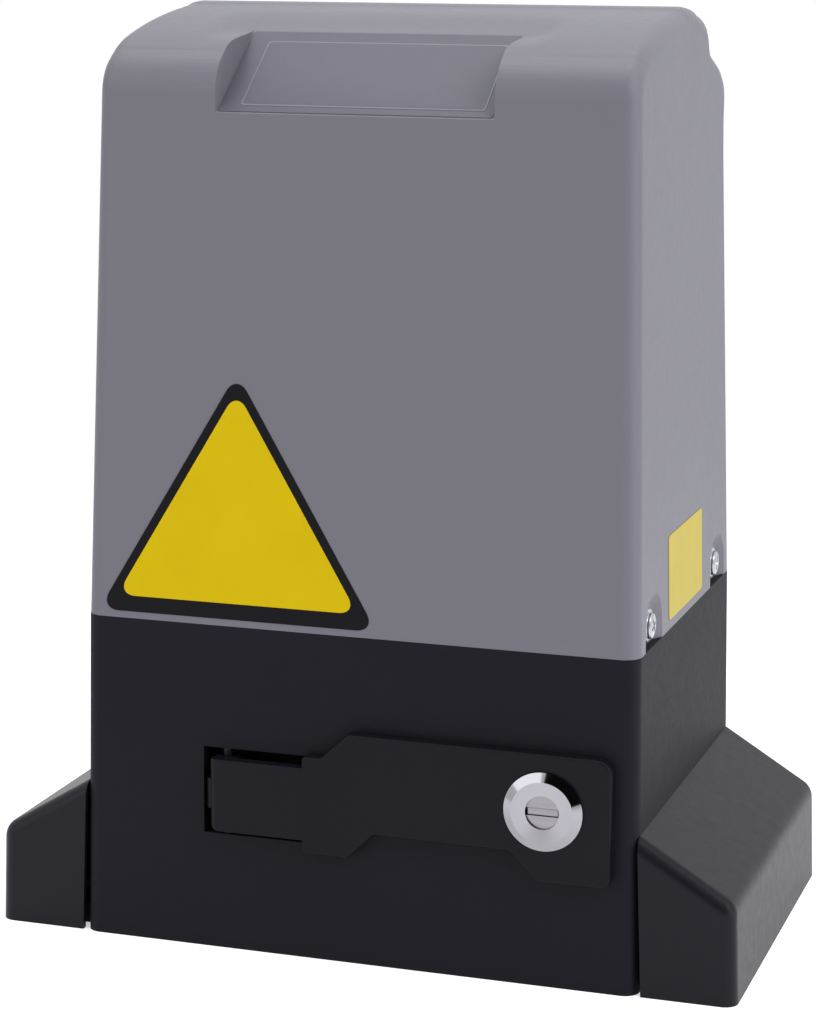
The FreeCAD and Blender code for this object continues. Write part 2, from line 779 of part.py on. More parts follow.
def screw_pocket(side, end):
    """Space round a cover screw, flaring out to the cover's side and open down to the seam."""
    y = end * COVER_SCREW_Y
    floor_x = side * SCREW_POCKET_X
    mouth_x = side * BASE_LOW[0]
    depth = BASE_LOW[0] - SCREW_POCKET_X
    share = depth / (BASE_HIGH[0] - SCREW_POCKET_X)
    mouth_r = SCREW_POCKET_R + (SCREW_MOUTH_R - SCREW_POCKET_R) * share
    centre = at("X", y, COVER_SCREW_Z, floor_x)
    cone = Part.makeCone(SCREW_POCKET_R, mouth_r, depth, centre, ALONG["X"] * side)
    throat = (
        (floor_x, y - SCREW_POCKET_R, 0),
        (mouth_x, y - mouth_r, 0),
        (mouth_x, y + mouth_r, 0),
        (floor_x, y + SCREW_POCKET_R, 0),
    )
    return cone.fuse(prism("Z", (SEAM_Z - COVER_WALL, COVER_SCREW_Z), throat))


def top_cover():
    """Moulded cover with its label recess, screw pockets and limit switch notch."""
    cavity = cover_form(SEAM_Z - 2 * COVER_WALL, COVER_WALL).cut(recess(COVER_WALL))
    shell = cover_form(SEAM_Z, 0).cut(cavity).cut(recess(0))
    pads = []
    pockets = []
    for side in SIDES:
        for end in SIDES:
            pads.append(screw_pad(side, end))
            pockets.append(screw_pocket(side, end))
    notch_x = (OUT_X - NOTCH_HALF, OUT_X + NOTCH_HALF)
    notch = prism("Y", (0, BASE_LOW[1]), rectangle(notch_x, (SEAM_Z - NOTCH_R, NOTCH_TOP), NOTCH_R))
    shell = fused([shell] + pads)
    cuts = pockets + [notch, cover_screw_set(0, COVER_SCREW_R + SCREW_CLEARANCE)]
    return shell.cut(Part.makeCompound(cuts))


def cover_screw_set(head_r, shank_r):
    """Four cover screws, or with no head their holes."""
    shapes = []
    for side in SIDES:
        for end in SIDES:
            y = end * COVER_SCREW_Y
            shank = (side * LUG_INNER_X, side * SCREW_POCKET_X)
            screw = rod("X", y, COVER_SCREW_Z, shank, shank_r)
            if head_r:
                top = side * (SCREW_POCKET_X + COVER_HEAD_T)
                head = rod("X", y, COVER_SCREW_Z, (side * SCREW_POCKET_X, top), head_r)
                rim = [edge for edge in head.Edges if abs(edge.BoundBox.Center.x - top) < 1e-3]
                screw = fused([screw, head.makeFillet(COVER_HEAD_T / 2, rim)])
            shapes.append(screw)
    return Part.makeCompound(shapes)


# ---------------------------------------------------------------- gearcase


def lug_places():
    """Centres of the gearcase's fixing lugs."""
    return [(x, REAR_LUG_Y) for x in REAR_LUG_XS] + [(SIDE_LUG_X, 0)]


def lug_screw_set(radius, head=None):
    """Screws through the gearcase lugs, or with no head their holes."""
    shapes = []
    for x, y in lug_places():
        top = FLOOR + LUG_T
        screw = rod("Z", x, y, (FLOOR - LUG_SCREW_REACH, top), radius)
        if head:
            screw = fused([screw, rod("Z", x, y, (top, top + head[1]), head[0])])
        shapes.append(screw)
    return Part.makeCompound(shapes)


def case_screw_set(radius, head=None):
    """Screws through the gearcase cover, or with no head their holes."""
    outer_y = GEARCASE_Y[0] - CASE_COVER_T
    shapes = []
    for x in CASE_SCREW_XS:
        for z in CASE_SCREW_ZS:
            screw = rod("Y", x, z, (outer_y, GEARCASE_Y[0] + CASE_SCREW_DEPTH), radius)
            if head:
                screw = fused([screw, rod("Y", x, z, (outer_y - head[1], outer_y), head[0])])
            shapes.append(screw)
    return Part.makeCompound(shapes)


def motor_flange(z):
    """Round flange with a lobe at each through bolt."""
    shapes = [rod("Z", MOTOR_X, 0, z, MOTOR_R)]
    for x, y in through_bolt_places():
        shapes.append(rod("Z", x, y, z, BOLT_LOBE_R))
    return fused(shapes)


def through_bolt_places():
    """Centres of the motor's through bolts."""
    reach = THROUGH_BOLT_AT * math.sqrt(0.5)
    return [(MOTOR_X + side * reach, end * reach) for side in SIDES for end in SIDES]


def through_bolt_set(radius, head=None):
    """Bolts from the motor's top cap down into the gearcase flange."""
    top = MOTOR_Z[1] + CAP_T
    shapes = []
    for x, y in through_bolt_places():
        bolt = rod("Z", x, y, (GEARCASE_TOP, top), radius)
        if head:
            bolt = fused([bolt, rod("Z", x, y, (top, top + head[1]), head[0])])
        shapes.append(bolt)
    return Part.makeCompound(shapes)


def gearcase():
    """Gearcase casting with wheel chamber, worm tunnel, motor flange and lugs."""
    case_z = (FLOOR, GEARCASE_TOP)
    added = [
        prism("Y", GEARCASE_Y, rectangle(GEARCASE_X, case_z, GEARCASE_R)),
        block(TUNNEL_X, (-TUNNEL_HALF_Y, TUNNEL_HALF_Y), case_z),
        motor_flange((GEARCASE_TOP, MOTOR_Z[0])),
    ]
    lug_z = (FLOOR, FLOOR + LUG_T)
    r = GEARCASE_LUG_R
    for x, y in lug_places():
        added.append(rod("Z", x, y, lug_z, r))
        if y:
            added.append(block((x - r, x + r), (GEARCASE_Y[1] - r, y), lug_z))
        else:
            added.append(block((TUNNEL_X[1] - r, x), (-r, r), lug_z))
    rear_y = REAR_BEARING_Y
    cuts = [
        rod("Y", OUT_X, OUT_Z, (GEARCASE_Y[0], GEARCASE_CAVITY_BACK), GEARCASE_CAVITY_R),
        rod("Y", OUT_X, OUT_Z, (GEARCASE_CAVITY_BACK, rear_y[1]), REAR_BEARING_R),
        rod("Y", OUT_X, OUT_Z, (rear_y[1], GEARCASE_Y[1]), SHAFT_R + LIP),
        rod("Z", MOTOR_X, 0, (GEARCASE_BEARING_Z[0], GEARCASE_BEARING_Z[1]), MOTOR_BEARING_R),
        rod("Z", MOTOR_X, 0, (GEARCASE_BEARING_Z[1], MOTOR_Z[0]), TUNNEL_R),
        case_screw_set(CASE_SCREW_R),
        lug_screw_set(LUG_SCREW_R),
        through_bolt_set(THROUGH_BOLT_R),
    ]
    return fused(added).cut(Part.makeCompound(cuts))


def gearcase_cover():
    """Front cover of the gearcase with the front bearing's boss."""
    front_y = GEARCASE_Y[0] - CASE_COVER_T
    corners = rectangle(GEARCASE_X, (FLOOR, GEARCASE_TOP), GEARCASE_R)
    plate = prism("Y", (front_y, GEARCASE_Y[0]), corners)
    boss = rod("Y", OUT_X, OUT_Z, (CASE_BOSS_Y, front_y), CASE_BOSS_R)
    cuts = [
        rod("Y", OUT_X, OUT_Z, (FRONT_BEARING_Y[0], GEARCASE_Y[0]), FRONT_BEARING_R),
        rod("Y", OUT_X, OUT_Z, (CASE_BOSS_Y, FRONT_BEARING_Y[0]), SHAFT_R + LIP),
        case_screw_set(CASE_SCREW_R),
    ]
    return fused([plate, boss]).cut(Part.makeCompound(cuts))


def gearcase_screws():
    """Screws of the gearcase's cover and of its lugs."""
    sets = [case_screw_set(CASE_SCREW_R, CASE_HEAD), lug_screw_set(LUG_SCREW_R, LUG_HEAD)]
    return Part.makeCompound([solid for one in sets for solid in one.Solids])


# ---------------------------------------------------------------- output train


def output_shaft():
    """Shaft with its shoulder, push rod bore, cross slot, keyway and bolt hole."""
    shaft = rod("Y", OUT_X, OUT_Z, SHAFT_Y, SHAFT_R)
    shoulder = rod("Y", OUT_X, OUT_Z, SHOULDER_Y, SHOULDER_R)
    pin_y = sum(CLUTCH_Y) / 2
    travel = pin_y + CLUTCH_STROKE
    slot_r = CLUTCH_PIN_R + RUNNING_FIT
    bore_end = travel + PUSH_ROD_TIP + PUSH_ROD_ROOM
    cuts = [
        rod("Y", OUT_X, OUT_Z, (SHAFT_Y[0], bore_end), PUSH_ROD_R + RUNNING_FIT),
        block(
            (OUT_X - SHAFT_R, OUT_X + SHAFT_R),
            (pin_y - slot_r - FACE_GAP, travel + slot_r + FACE_GAP),
            (OUT_Z - slot_r, OUT_Z + slot_r),
        ),
        pinion_key(),
        rod("Y", OUT_X, OUT_Z, (SHAFT_Y[1] - PINION_BOLT_LENGTH, SHAFT_Y[1]), PINION_BOLT_R),
    ]
    return fused([shaft, shoulder]).cut(Part.makeCompound(cuts))


def pinion_key():
    """Parallel key between the shaft and the pinion."""
    middle_z = OUT_Z + SHAFT_R
    return block(
        (OUT_X - KEY_W / 2, OUT_X + KEY_W / 2),
        PINION_Y,
        (middle_z - KEY_DEPTH, middle_z + KEY_DEPTH),
    )


def drive_pinion():
    """Spur pinion that meshes with the gate's rack."""
    wire = gear_outline(PINION_Y[0], PINION_MODULE, PINION_TEETH, 0.0)
    body = Part.Face(wire).extrude(ALONG["Y"] * (PINION_Y[1] - PINION_Y[0]))
    bore = rod("Y", OUT_X, OUT_Z, PINION_Y, SHAFT_R)
    return body.cut(bore).cut(pinion_key())


def pinion_washer():
    """Washer under the pinion bolt's head."""
    span = (SHAFT_Y[1], SHAFT_Y[1] + PINION_WASHER_T)
    return ring("Y", OUT_X, OUT_Z, span, PINION_WASHER_R, PINION_BOLT_R)


def pinion_bolt():
    """Hexagon bolt in the shaft's end."""
    seat = SHAFT_Y[1] + PINION_WASHER_T
    shank = rod("Y", OUT_X, OUT_Z, (SHAFT_Y[1] - PINION_BOLT_LENGTH, seat), PINION_BOLT_R)
    corners = hexagon(OUT_X, OUT_Z, PINION_BOLT_HEAD[0])
    return fused([shank, prism("Y", (seat, seat + PINION_BOLT_HEAD[1]), corners)])


def worm_wheel():
    """Helical-toothed bronze wheel on its hub."""
    lead = WORM_MODULE / (2 * WORM_PITCH_R)
    pitch_r = WORM_MODULE * WHEEL_TEETH / 2
    twist = WHEEL_HALF_FACE * lead / pitch_r
    wires = []
    for side in SIDES:
        level = side * WHEEL_HALF_FACE
        wires.append(gear_outline(level, WORM_MODULE, WHEEL_TEETH, -side * twist, FLANK_RELIEF))
    teeth = Part.makeLoft(wires, True, True)
    hub = rod("Y", OUT_X, OUT_Z, (SHOULDER_Y[1], WHEEL_HALF_FACE), WHEEL_HUB_R)
    bore = rod("Y", OUT_X, OUT_Z, (SHOULDER_Y[1], WHEEL_HALF_FACE), SHAFT_R)
    return teeth.fuse(hub).cut(bore)


def spring_retainer():
    """Collar that the clutch spring pushes against."""
    return ring("Y", OUT_X, OUT_Z, RETAINER_Y, RETAINER_R, SHAFT_R)


def clutch_disc():
    """Sliding half of the clutch, holed for the cross pin."""
    disc = ring("Y", OUT_X, OUT_Z, CLUTCH_Y, CLUTCH_R, SHAFT_R + RUNNING_FIT)
    return disc.cut(cross_pin())


def cross_pin():
    """Pin through the push rod and into the clutch disc."""
    reach = (OUT_X - CLUTCH_PIN_HALF, OUT_X + CLUTCH_PIN_HALF)
    return rod("X", sum(CLUTCH_Y) / 2, OUT_Z, reach, CLUTCH_PIN_R)


def clutch_push_rod():
    """Push rod inside the shaft with its cross pin."""
    span = (PLUNGER_END_Y + FACE_GAP, sum(CLUTCH_Y) / 2 + PUSH_ROD_TIP)
    return fused([rod("Y", OUT_X, OUT_Z, span, PUSH_ROD_R), cross_pin()])


def clutch_spring():
    """Coil spring between the clutch disc and its collar, drawn as tilted half rings."""
    low = CLUTCH_Y[1] + SPRING_WIRE_R
    rise = (RETAINER_Y[0] - SPRING_WIRE_R - low) / (2 * SPRING_TURNS)
    halves = []
    for i in range(2 * SPRING_TURNS):
        side = SIDES[i % 2]
        start = at("Y", OUT_X - side * SPRING_MEAN_R, OUT_Z, low + i * rise)
        end = at("Y", OUT_X + side * SPRING_MEAN_R, OUT_Z, low + (i + 1) * rise)
        section = Part.Face(Part.Wire([Part.makeCircle(SPRING_WIRE_R, start, ALONG["Z"])]))
        axis = (end - start).cross(ALONG["Z"]) * side
        halves.append(section.revolve((start + end) / 2, axis, 180))
    return fused(halves)


# ---------------------------------------------------------------- motor


def worm():
    """Single-start right-hand worm on the motor shaft."""
    tip_r = WORM_PITCH_R + WORM_MODULE
    root_r = WORM_PITCH_R - WORM_MODULE * (1 + TOOTH_CLEARANCE)
    pitch = math.pi * WORM_MODULE
    half = pitch / 4 - FLANK_RELIEF
    foot_r = root_r - FACE_GAP
    section = []
    for side, radius in ((-1, foot_r), (-1, tip_r), (1, tip_r), (1, foot_r)):
        z = side * (half + (WORM_PITCH_R - radius) * math.tan(PRESSURE))
        section.append(FreeCAD.Vector(radius, 0, z))
    profile = Part.makePolygon(section + section[:1])
    helix = Part.makeHelix(pitch, WORM_TURNS * pitch, WORM_PITCH_R)
    thread = Part.Wire(helix.Edges).makePipeShell([profile], True, True)
    thread.rotate(FreeCAD.Vector(0, 0, 0), ALONG["Z"], 180)
    thread.translate(FreeCAD.Vector(MOTOR_X, 0, OUT_Z - WORM_TURNS * pitch / 2))
    span = (OUT_Z - WORM_HALF_LENGTH, OUT_Z + WORM_HALF_LENGTH)
    core = rod("Z", MOTOR_X, 0, span, root_r)
    return core.fuse(thread).cut(rod("Z", MOTOR_X, 0, span, MOTOR_SHAFT_R))


def motor_shaft():
    """Motor shaft, thicker inside the rotor."""
    low, high = MOTOR_SHAFT_Z
    profile = [
        (0, low),
        (MOTOR_SHAFT_R, low),
        (MOTOR_SHAFT_R, ROTOR_SHAFT_Z[0]),
        (ROTOR_SHAFT_R, ROTOR_SHAFT_Z[0]),
        (ROTOR_SHAFT_R, ROTOR_SHAFT_Z[1]),
        (MOTOR_SHAFT_R, ROTOR_SHAFT_Z[1]),
        (MOTOR_SHAFT_R, high),
        (0, high),
    ]
    return turned("Z", MOTOR_X, 0, profile)


def motor_rotor():
    """Squirrel-cage rotor."""
    return ring("Z", MOTOR_X, 0, STATOR_Z, STATOR_BORE_R - AIR_GAP, ROTOR_SHAFT_R)


def motor_stator():
    """Stator pack with its end windings."""
    outer = MOTOR_R - MOTOR_WALL
    low, high = STATOR_Z
    step = MOTOR_WALL / 2
    profile = [
        (STATOR_BORE_R, low),
        (STATOR_BORE_R + step, low),
        (STATOR_BORE_R + 2 * step, low - WINDING_H),
        (outer - 2 * step, low - WINDING_H),
        (outer - step, low),
        (outer, low),
        (outer, high),
        (outer - step, high),
        (outer - 2 * step, high + WINDING_H),
        (STATOR_BORE_R + 2 * step, high + WINDING_H),
        (STATOR_BORE_R + step, high),
        (STATOR_BORE_R, high),
    ]
    return turned("Z", MOTOR_X, 0, profile)


def motor_housing():
    """Motor tube with its lower end plate."""
    low, high = MOTOR_Z
    plate_top = low + MOTOR_PLATE
    body = rod("Z", MOTOR_X, 0, MOTOR_Z, MOTOR_R)
    cuts = [
        rod("Z", MOTOR_X, 0, (plate_top, high), MOTOR_R - MOTOR_WALL),
        rod("Z", MOTOR_X, 0, (low, low + MOTOR_BEARING_W), MOTOR_BEARING_R),
        rod("Z", MOTOR_X, 0, (low + MOTOR_BEARING_W, plate_top), ROTOR_SHAFT_R),
    ]
    return body.cut(Part.makeCompound(cuts))


def motor_top_cap():
    """Upper end cap with lobes for the through bolts."""
    low = MOTOR_Z[1]
    body = motor_flange((low, low + CAP_T))
    rim = [edge for edge in body.Edges if edge.BoundBox.ZMin > low + CAP_T - 1e-3]
    body = body.makeFillet(CAP_EDGE_R, rim)
    seat = rod("Z", MOTOR_X, 0, (low, low + MOTOR_BEARING_W), MOTOR_BEARING_R)
    return body.cut(seat).cut(through_bolt_set(THROUGH_BOLT_R))


def motor_bearing(z):
    """Bearing of the motor shaft standing at a height."""
    span = (z, z + MOTOR_BEARING_W)
    return bearing("Z", MOTOR_X, 0, span, MOTOR_SHAFT_R + RUNNING_FIT, MOTOR_BEARING_R)


# ---------------------------------------------------------------- release lever and lock


def lever_blade():
    """Flat of the lever in front of the base, its front edge rounded."""
    span = (LEVER_FRONT_Y, LEVER_FRONT_Y + LEVER_T)
    blade = prism("Y", span, LEVER_CORNERS)
    rim = [edge for edge in blade.Edges if edge.BoundBox.YMax < LEVER_FRONT_Y + 1e-3]
    return blade.makeFillet(LEVER_EDGE_R, rim)


def release_lever():
    """Release lever: blade, tail in the pocket, hinge knuckle and cam nose."""
    back_y = LEVER_FRONT_Y + LEVER_T
    tail_plan = [
        (TAIL_X[0], LEVER_FRONT_Y, TAIL_END_R),
        (TAIL_X[1], LEVER_FRONT_Y, 0),
        (TAIL_X[1], back_y, 0),
        (TAIL_X[0], back_y, 0),
    ]
    tail_front = [
        (TAIL_X[0], TAIL_Z[0], TAIL_END_R + LEVER_EDGE_R),
        (TAIL_X[1], TAIL_Z[0], 0),
        (TAIL_X[1], TAIL_Z[1], 0),
        (TAIL_X[0], TAIL_Z[1], LEVER_EDGE_R),
    ]
    tail = prism("Z", TAIL_Z, tail_plan).common(prism("Y", (LEVER_FRONT_Y, back_y), tail_front))
    nose_z = (OUT_Z - PLUNGER_HEAD_R, OUT_Z + PLUNGER_HEAD_R)
    added = [
        lever_blade(),
        tail,
        rod("Z", PIN_X, PIN_Y, TAIL_Z, KNUCKLE_R),
        rod("Z", PIN_X - NOSE_AT, PIN_Y, nose_z, NOSE_R),
        block((PIN_X - NOSE_AT, PIN_X), (PIN_Y - NOSE_R, PIN_Y + NOSE_R), nose_z),
    ]
    cuts = [
        rod("Z", PIN_X, PIN_Y, TAIL_Z, PIN_R + RUNNING_FIT),
        rod("Y", LOCK_X, LOCK_Z, (LEVER_FRONT_Y, back_y), LOCK_BARREL_R),
    ]
    return fused(added).cut(Part.makeCompound(cuts))


def plunger_head_y():
    """Front of the plunger's head with the lever closed."""
    return PIN_Y + KNUCKLE_R + FACE_GAP


def release_plunger():
    """Plunger pushed back by the lever's cam nose."""
    head_y = plunger_head_y()
    head = rod("Y", OUT_X, OUT_Z, (head_y, head_y + PLUNGER_HEAD_T), PLUNGER_HEAD_R)
    return fused([head, rod("Y", OUT_X, OUT_Z, (head_y, PLUNGER_END_Y), PLUNGER_R)])


def lock_barrel():
    """Chromed lock body with its bevelled and dished front flange."""
    rim_y = LEVER_FRONT_Y - LOCK_RIM_T
    front_y = rim_y - LOCK_BEVEL_T
    bore = PLUG_R + RUNNING_FIT
    profile = [
        (LOCK_BARREL_R, LOCK_END_Y),
        (LOCK_BARREL_R, LEVER_FRONT_Y),
        (LOCK_FLANGE_R, LEVER_FRONT_Y),
        (LOCK_FLANGE_R, rim_y),
        (LOCK_FACE_R, front_y),
        (bore, front_y + LOCK_DISH),
        (bore, LOCK_END_Y),
    ]
    return turned("Y", LOCK_X, LOCK_Z, profile)


def lock_nut():
    """Hexagon nut that clamps the lock behind the lever."""
    back_y = LEVER_FRONT_Y + LEVER_T
    nut = prism("Y", (back_y, back_y + LOCK_NUT_T), hexagon(LOCK_X, LOCK_Z, LOCK_NUT_R))
    return nut.cut(rod("Y", LOCK_X, LOCK_Z, (back_y, back_y + LOCK_NUT_T), LOCK_BARREL_R))


def lock_plug():
    """Key plug with its keyway and the stud that carries the cam."""
    front_y = LEVER_FRONT_Y - LOCK_RIM_T - LOCK_BEVEL_T + LOCK_DISH + PLUG_RECESS
    seat_y = LOCK_END_Y + FACE_GAP
    body = rod("Y", LOCK_X, LOCK_Z, (front_y, seat_y), PLUG_R)
    stud = rod("Y", LOCK_X, LOCK_Z, (seat_y, seat_y + CAM_T), CAM_STUD_R)
    keyway = block(
        (LOCK_X - PLUG_R, LOCK_X + PLUG_R),
        (front_y, front_y + KEYWAY_DEPTH),
        (LOCK_Z - KEYWAY_H / 2, LOCK_Z + KEYWAY_H / 2),
    )
    return fused([body, stud]).cut(keyway)


def lock_cam():
    """Cam plate on the plug's stud, upright when locked."""
    seat_y = LOCK_END_Y + FACE_GAP
    span = (seat_y, seat_y + CAM_T)
    corners = rectangle(
        (LOCK_X - CAM_HALF, LOCK_X + CAM_HALF),
        (LOCK_Z - CAM_HALF, LOCK_Z + CAM_LENGTH),
        CAM_TIP_HALF,
    )
    return prism("Y", span, corners).cut(rod("Y", LOCK_X, LOCK_Z, span, CAM_STUD_R))


# ---------------------------------------------------------------- electrical parts


def run_capacitor():
    """Round run capacitor beside the motor."""
    can = rod("Z", CAPACITOR_X, 0, CAPACITOR_Z, CAPACITOR_R)
    ends = [edge for edge in can.Edges if edge.BoundBox.ZLength < 1e-3]
    return can.makeFillet(MOTOR_WALL / 2, ends)


def capacitor_clamp():
    """Band round the capacitor with its arm on the motor housing."""
    band = ring("Z", CAPACITOR_X, 0, CLAMP_Z, CAPACITOR_R + CLAMP_T, CAPACITOR_R)
    arm = block((CAPACITOR_X + CAPACITOR_R, MOTOR_X), (-STEM_HUB_R, STEM_HUB_R), CLAMP_Z)
    arm = arm.cut(rod("Z", MOTOR_X, 0, CLAMP_Z, MOTOR_R))
    arm = arm.cut(rod("Z", CAPACITOR_X, 0, CLAMP_Z, CAPACITOR_R))
    return fused([band, arm])


def board_bracket():
    """Bent sheet bracket standing on the base's shelf."""
    plate = block((BRACKET_X, BRACKET_X + SHEET), (-BRACKET_HALF_Y, BRACKET_HALF_Y), BRACKET_Z)
    foot_z = (BRACKET_Z[0], BRACKET_Z[0] + SHEET)
    foot = block((BRACKET_X, LUG_INNER_X - SHEET), (-BRACKET_HALF_Y, BRACKET_HALF_Y), foot_z)
    return fused([plate, foot])


def board_x():
    """Back face of the control board."""
    return BRACKET_X + SHEET + STANDOFF_H


def control_board():
    """Control board, its parts' side away from the motor."""
    return block((board_x(), board_x() + BOARD_T), (-BOARD_HALF_Y, BOARD_HALF_Y), BOARD_Z)


def board_standoffs():
    """Pillars between the bracket and the board."""
    span = (BRACKET_X + SHEET, board_x())
    places = [(side * STANDOFF_Y, z) for side in SIDES for z in STANDOFF_ZS]
    return Part.makeCompound([rod("X", y, z, span, STANDOFF_R) for y, z in places])


def board_row(size, ys, z):
    """Row of box-shaped parts on the control board."""
    face_x = board_x() + BOARD_T
    shapes = []
    for y in ys:
        across = (y - size[1] / 2, y + size[1] / 2)
        shapes.append(block((face_x, face_x + size[0]), across, (z, z + size[2])))
    return Part.makeCompound(shapes)


def transformer():
    """Mains transformer: laminated core with its winding."""
    top = FLOOR + TRANSFORMER_H
    core = block(TRANSFORMER_X, TRANSFORMER_Y, (FLOOR, top))
    coil = block(
        (TRANSFORMER_X[0] + COIL_INSET, TRANSFORMER_X[1] - COIL_INSET),
        (TRANSFORMER_Y[0] - COIL_SWELL, TRANSFORMER_Y[1] + COIL_SWELL),
        (FLOOR + COIL_INSET, top - COIL_INSET),
    )
    coil = coil.makeFillet(COIL_SWELL - 1, upright_edges(coil))
    return fused([core, coil])


def cable_grommet():
    """Rubber grommet in the base's cable entry."""
    flange_r, flange_t = GROMMET_FLANGE
    profile = [
        (GROMMET_BORE_R, GROMMET_LIFT),
        (CABLE_R, GROMMET_LIFT),
        (CABLE_R, FLOOR),
        (flange_r, FLOOR),
        (flange_r, FLOOR + flange_t),
        (GROMMET_BORE_R, FLOOR + flange_t),
    ]
    return turned("Z", CABLE_AT[0], CABLE_AT[1], profile)


def limit_switch_bracket():
    """Angle bracket on the gearcase that carries the limit switch."""
    plate_y = (GEARCASE_Y[1] - SHEET, GEARCASE_Y[1])
    plate = block((SWITCH_FOOT_X, SWITCH_X[1]), plate_y, (GEARCASE_TOP, SWITCH_Z[1]))
    foot_z = (GEARCASE_TOP, GEARCASE_TOP + SHEET)
    foot = block((SWITCH_FOOT_X, OUT_X), (SWITCH_FOOT_Y, GEARCASE_Y[1]), foot_z)
    foot = foot.cut(motor_flange(foot_z))
    return fused([plate, foot])


def limit_switch_box():
    """Limit switch body with the stem's pivot hole."""
    body = block(SWITCH_X, (GEARCASE_Y[1], SWITCH_BACK_Y), SWITCH_Z)
    body = body.makeFillet(SHEET, upright_edges(body))
    hole = (SWITCH_Z[1] - STEM_PIN_DEPTH - FACE_GAP, SWITCH_Z[1])
    return body.cut(rod("Z", OUT_X, STEM_Y, hole, STEM_PIN_R + RUNNING_FIT))


def limit_stem():
    """Pivoting stem of the limit switch."""
    hub_z = SWITCH_Z[1] + FACE_GAP
    middle_z = hub_z + STEM_HUB_T / 2
    return fused(
        [
            rod("Z", OUT_X, STEM_Y, (hub_z - STEM_PIN_DEPTH, hub_z), STEM_PIN_R),
            rod("Z", OUT_X, STEM_Y, (hub_z, hub_z + STEM_HUB_T), STEM_HUB_R),
            rod("Y", OUT_X, middle_z, (STEM_Y, STEM_END_Y), STEM_R),
        ]
    )


def limit_spring():
    """Close-wound whisker on the stem that the gate's stops push aside."""
    middle_z = SWITCH_Z[1] + FACE_GAP + STEM_HUB_T / 2
    start = (STEM_END_Y + STEM_Y) / 2
    body = rod("Y", OUT_X, middle_z, (start, WHISKER_END_Y), WHISKER_R)
    tip = [edge for edge in body.Edges if edge.BoundBox.YMin > WHISKER_END_Y - 1e-3]
    body = body.makeFillet(WHISKER_TIP_R, tip)
    return body.cut(rod("Y", OUT_X, middle_z, (start, STEM_END_Y), STEM_R))


# ---------------------------------------------------------------- nodes

NODES = {
    "base_housing": base_housing,
    "left_flange": lambda: flange(-1),
    "right_flange": lambda: flange(1),
    "top_cover": top_cover,
    "cover_gasket": gasket_ring,
    "cover_screws": lambda: cover_screw_set(COVER_HEAD_R, COVER_SCREW_R),
    "left_foot_cover": lambda: foot_cover(-1),
    "right_foot_cover": lambda: foot_cover(1),
    "gearcase": gearcase,
    "gearcase_cover": gearcase_cover,
    "gearcase_screws": gearcase_screws,
    "front_bearing": lambda: bearing(
        "Y", OUT_X, OUT_Z, FRONT_BEARING_Y, SHAFT_R + RUNNING_FIT, FRONT_BEARING_R
    ),
    "rear_bearing": lambda: bearing(
        "Y", OUT_X, OUT_Z, REAR_BEARING_Y, SHAFT_R + RUNNING_FIT, REAR_BEARING_R
    ),
    "shaft_seal": lambda: ring("Y", OUT_X, OUT_Z, SEAL_Y, SEAL_R, SHAFT_R + RUNNING_FIT),
    "worm_bearing": lambda: motor_bearing(GEARCASE_BEARING_Z[0]),
    "motor_housing": motor_housing,
    "motor_top_cap": motor_top_cap,
    "motor_stator": motor_stator,
    "motor_lower_bearing": lambda: motor_bearing(MOTOR_Z[0]),
    "motor_upper_bearing": lambda: motor_bearing(MOTOR_Z[1]),
    "motor_bolts": lambda: through_bolt_set(THROUGH_BOLT_R, THROUGH_HEAD),
    "run_capacitor": run_capacitor,
    "capacitor_clamp": capacitor_clamp,
    "board_bracket": board_bracket,
    "control_board": control_board,
    "board_standoffs": board_standoffs,
    "relays": lambda: board_row(RELAY, RELAY_YS, RELAY_Z),
    "terminal_blocks": lambda: board_row(TERMINAL, TERMINAL_YS, TERMINAL_Z),
    "transformer": transformer,
    "limit_switch_bracket": limit_switch_bracket,
    "limit_switch_box": limit_switch_box,
    "cable_grommet": cable_grommet,
    "lever_hinge_pin": lambda: pin_shape(),
    "release_lever": release_lever,
    "lock_barrel": lock_barrel,
    "lock_nut": lock_nut,
    "lock_plug": lock_plug,
    "lock_cam": lock_cam,
    "release_plunger": release_plunger,
    "output_shaft": output_shaft,
    "worm_wheel": worm_wheel,
    "drive_pinion": drive_pinion,
    "pinion_key": pinion_key,
    "pinion_washer": pinion_washer,
    "pinion_bolt": pinion_bolt,
    "spring_retainer": spring_retainer,
    "clutch_disc": clutch_disc,
    "clutch_push_rod": clutch_push_rod,
    "clutch_spring": clutch_spring,
    "motor_shaft": motor_shaft,
    "motor_rotor": motor_rotor,
    "worm": worm,
    "limit_stem": limit_stem,
    "limit_spring": limit_spring,
}


def main():
    """Write every node's solid."""
    os.makedirs("parts", exist_ok=True)
    for name, build in NODES.items():
        build().exportStep(f"parts/{name}.step")


main()
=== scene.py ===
import json
import logging
import math
from dataclasses import dataclass, field
from enum import Enum
from typing import Callable, Iterable, Optional, Sequence

import bpy
from mathutils import Matrix, Vector


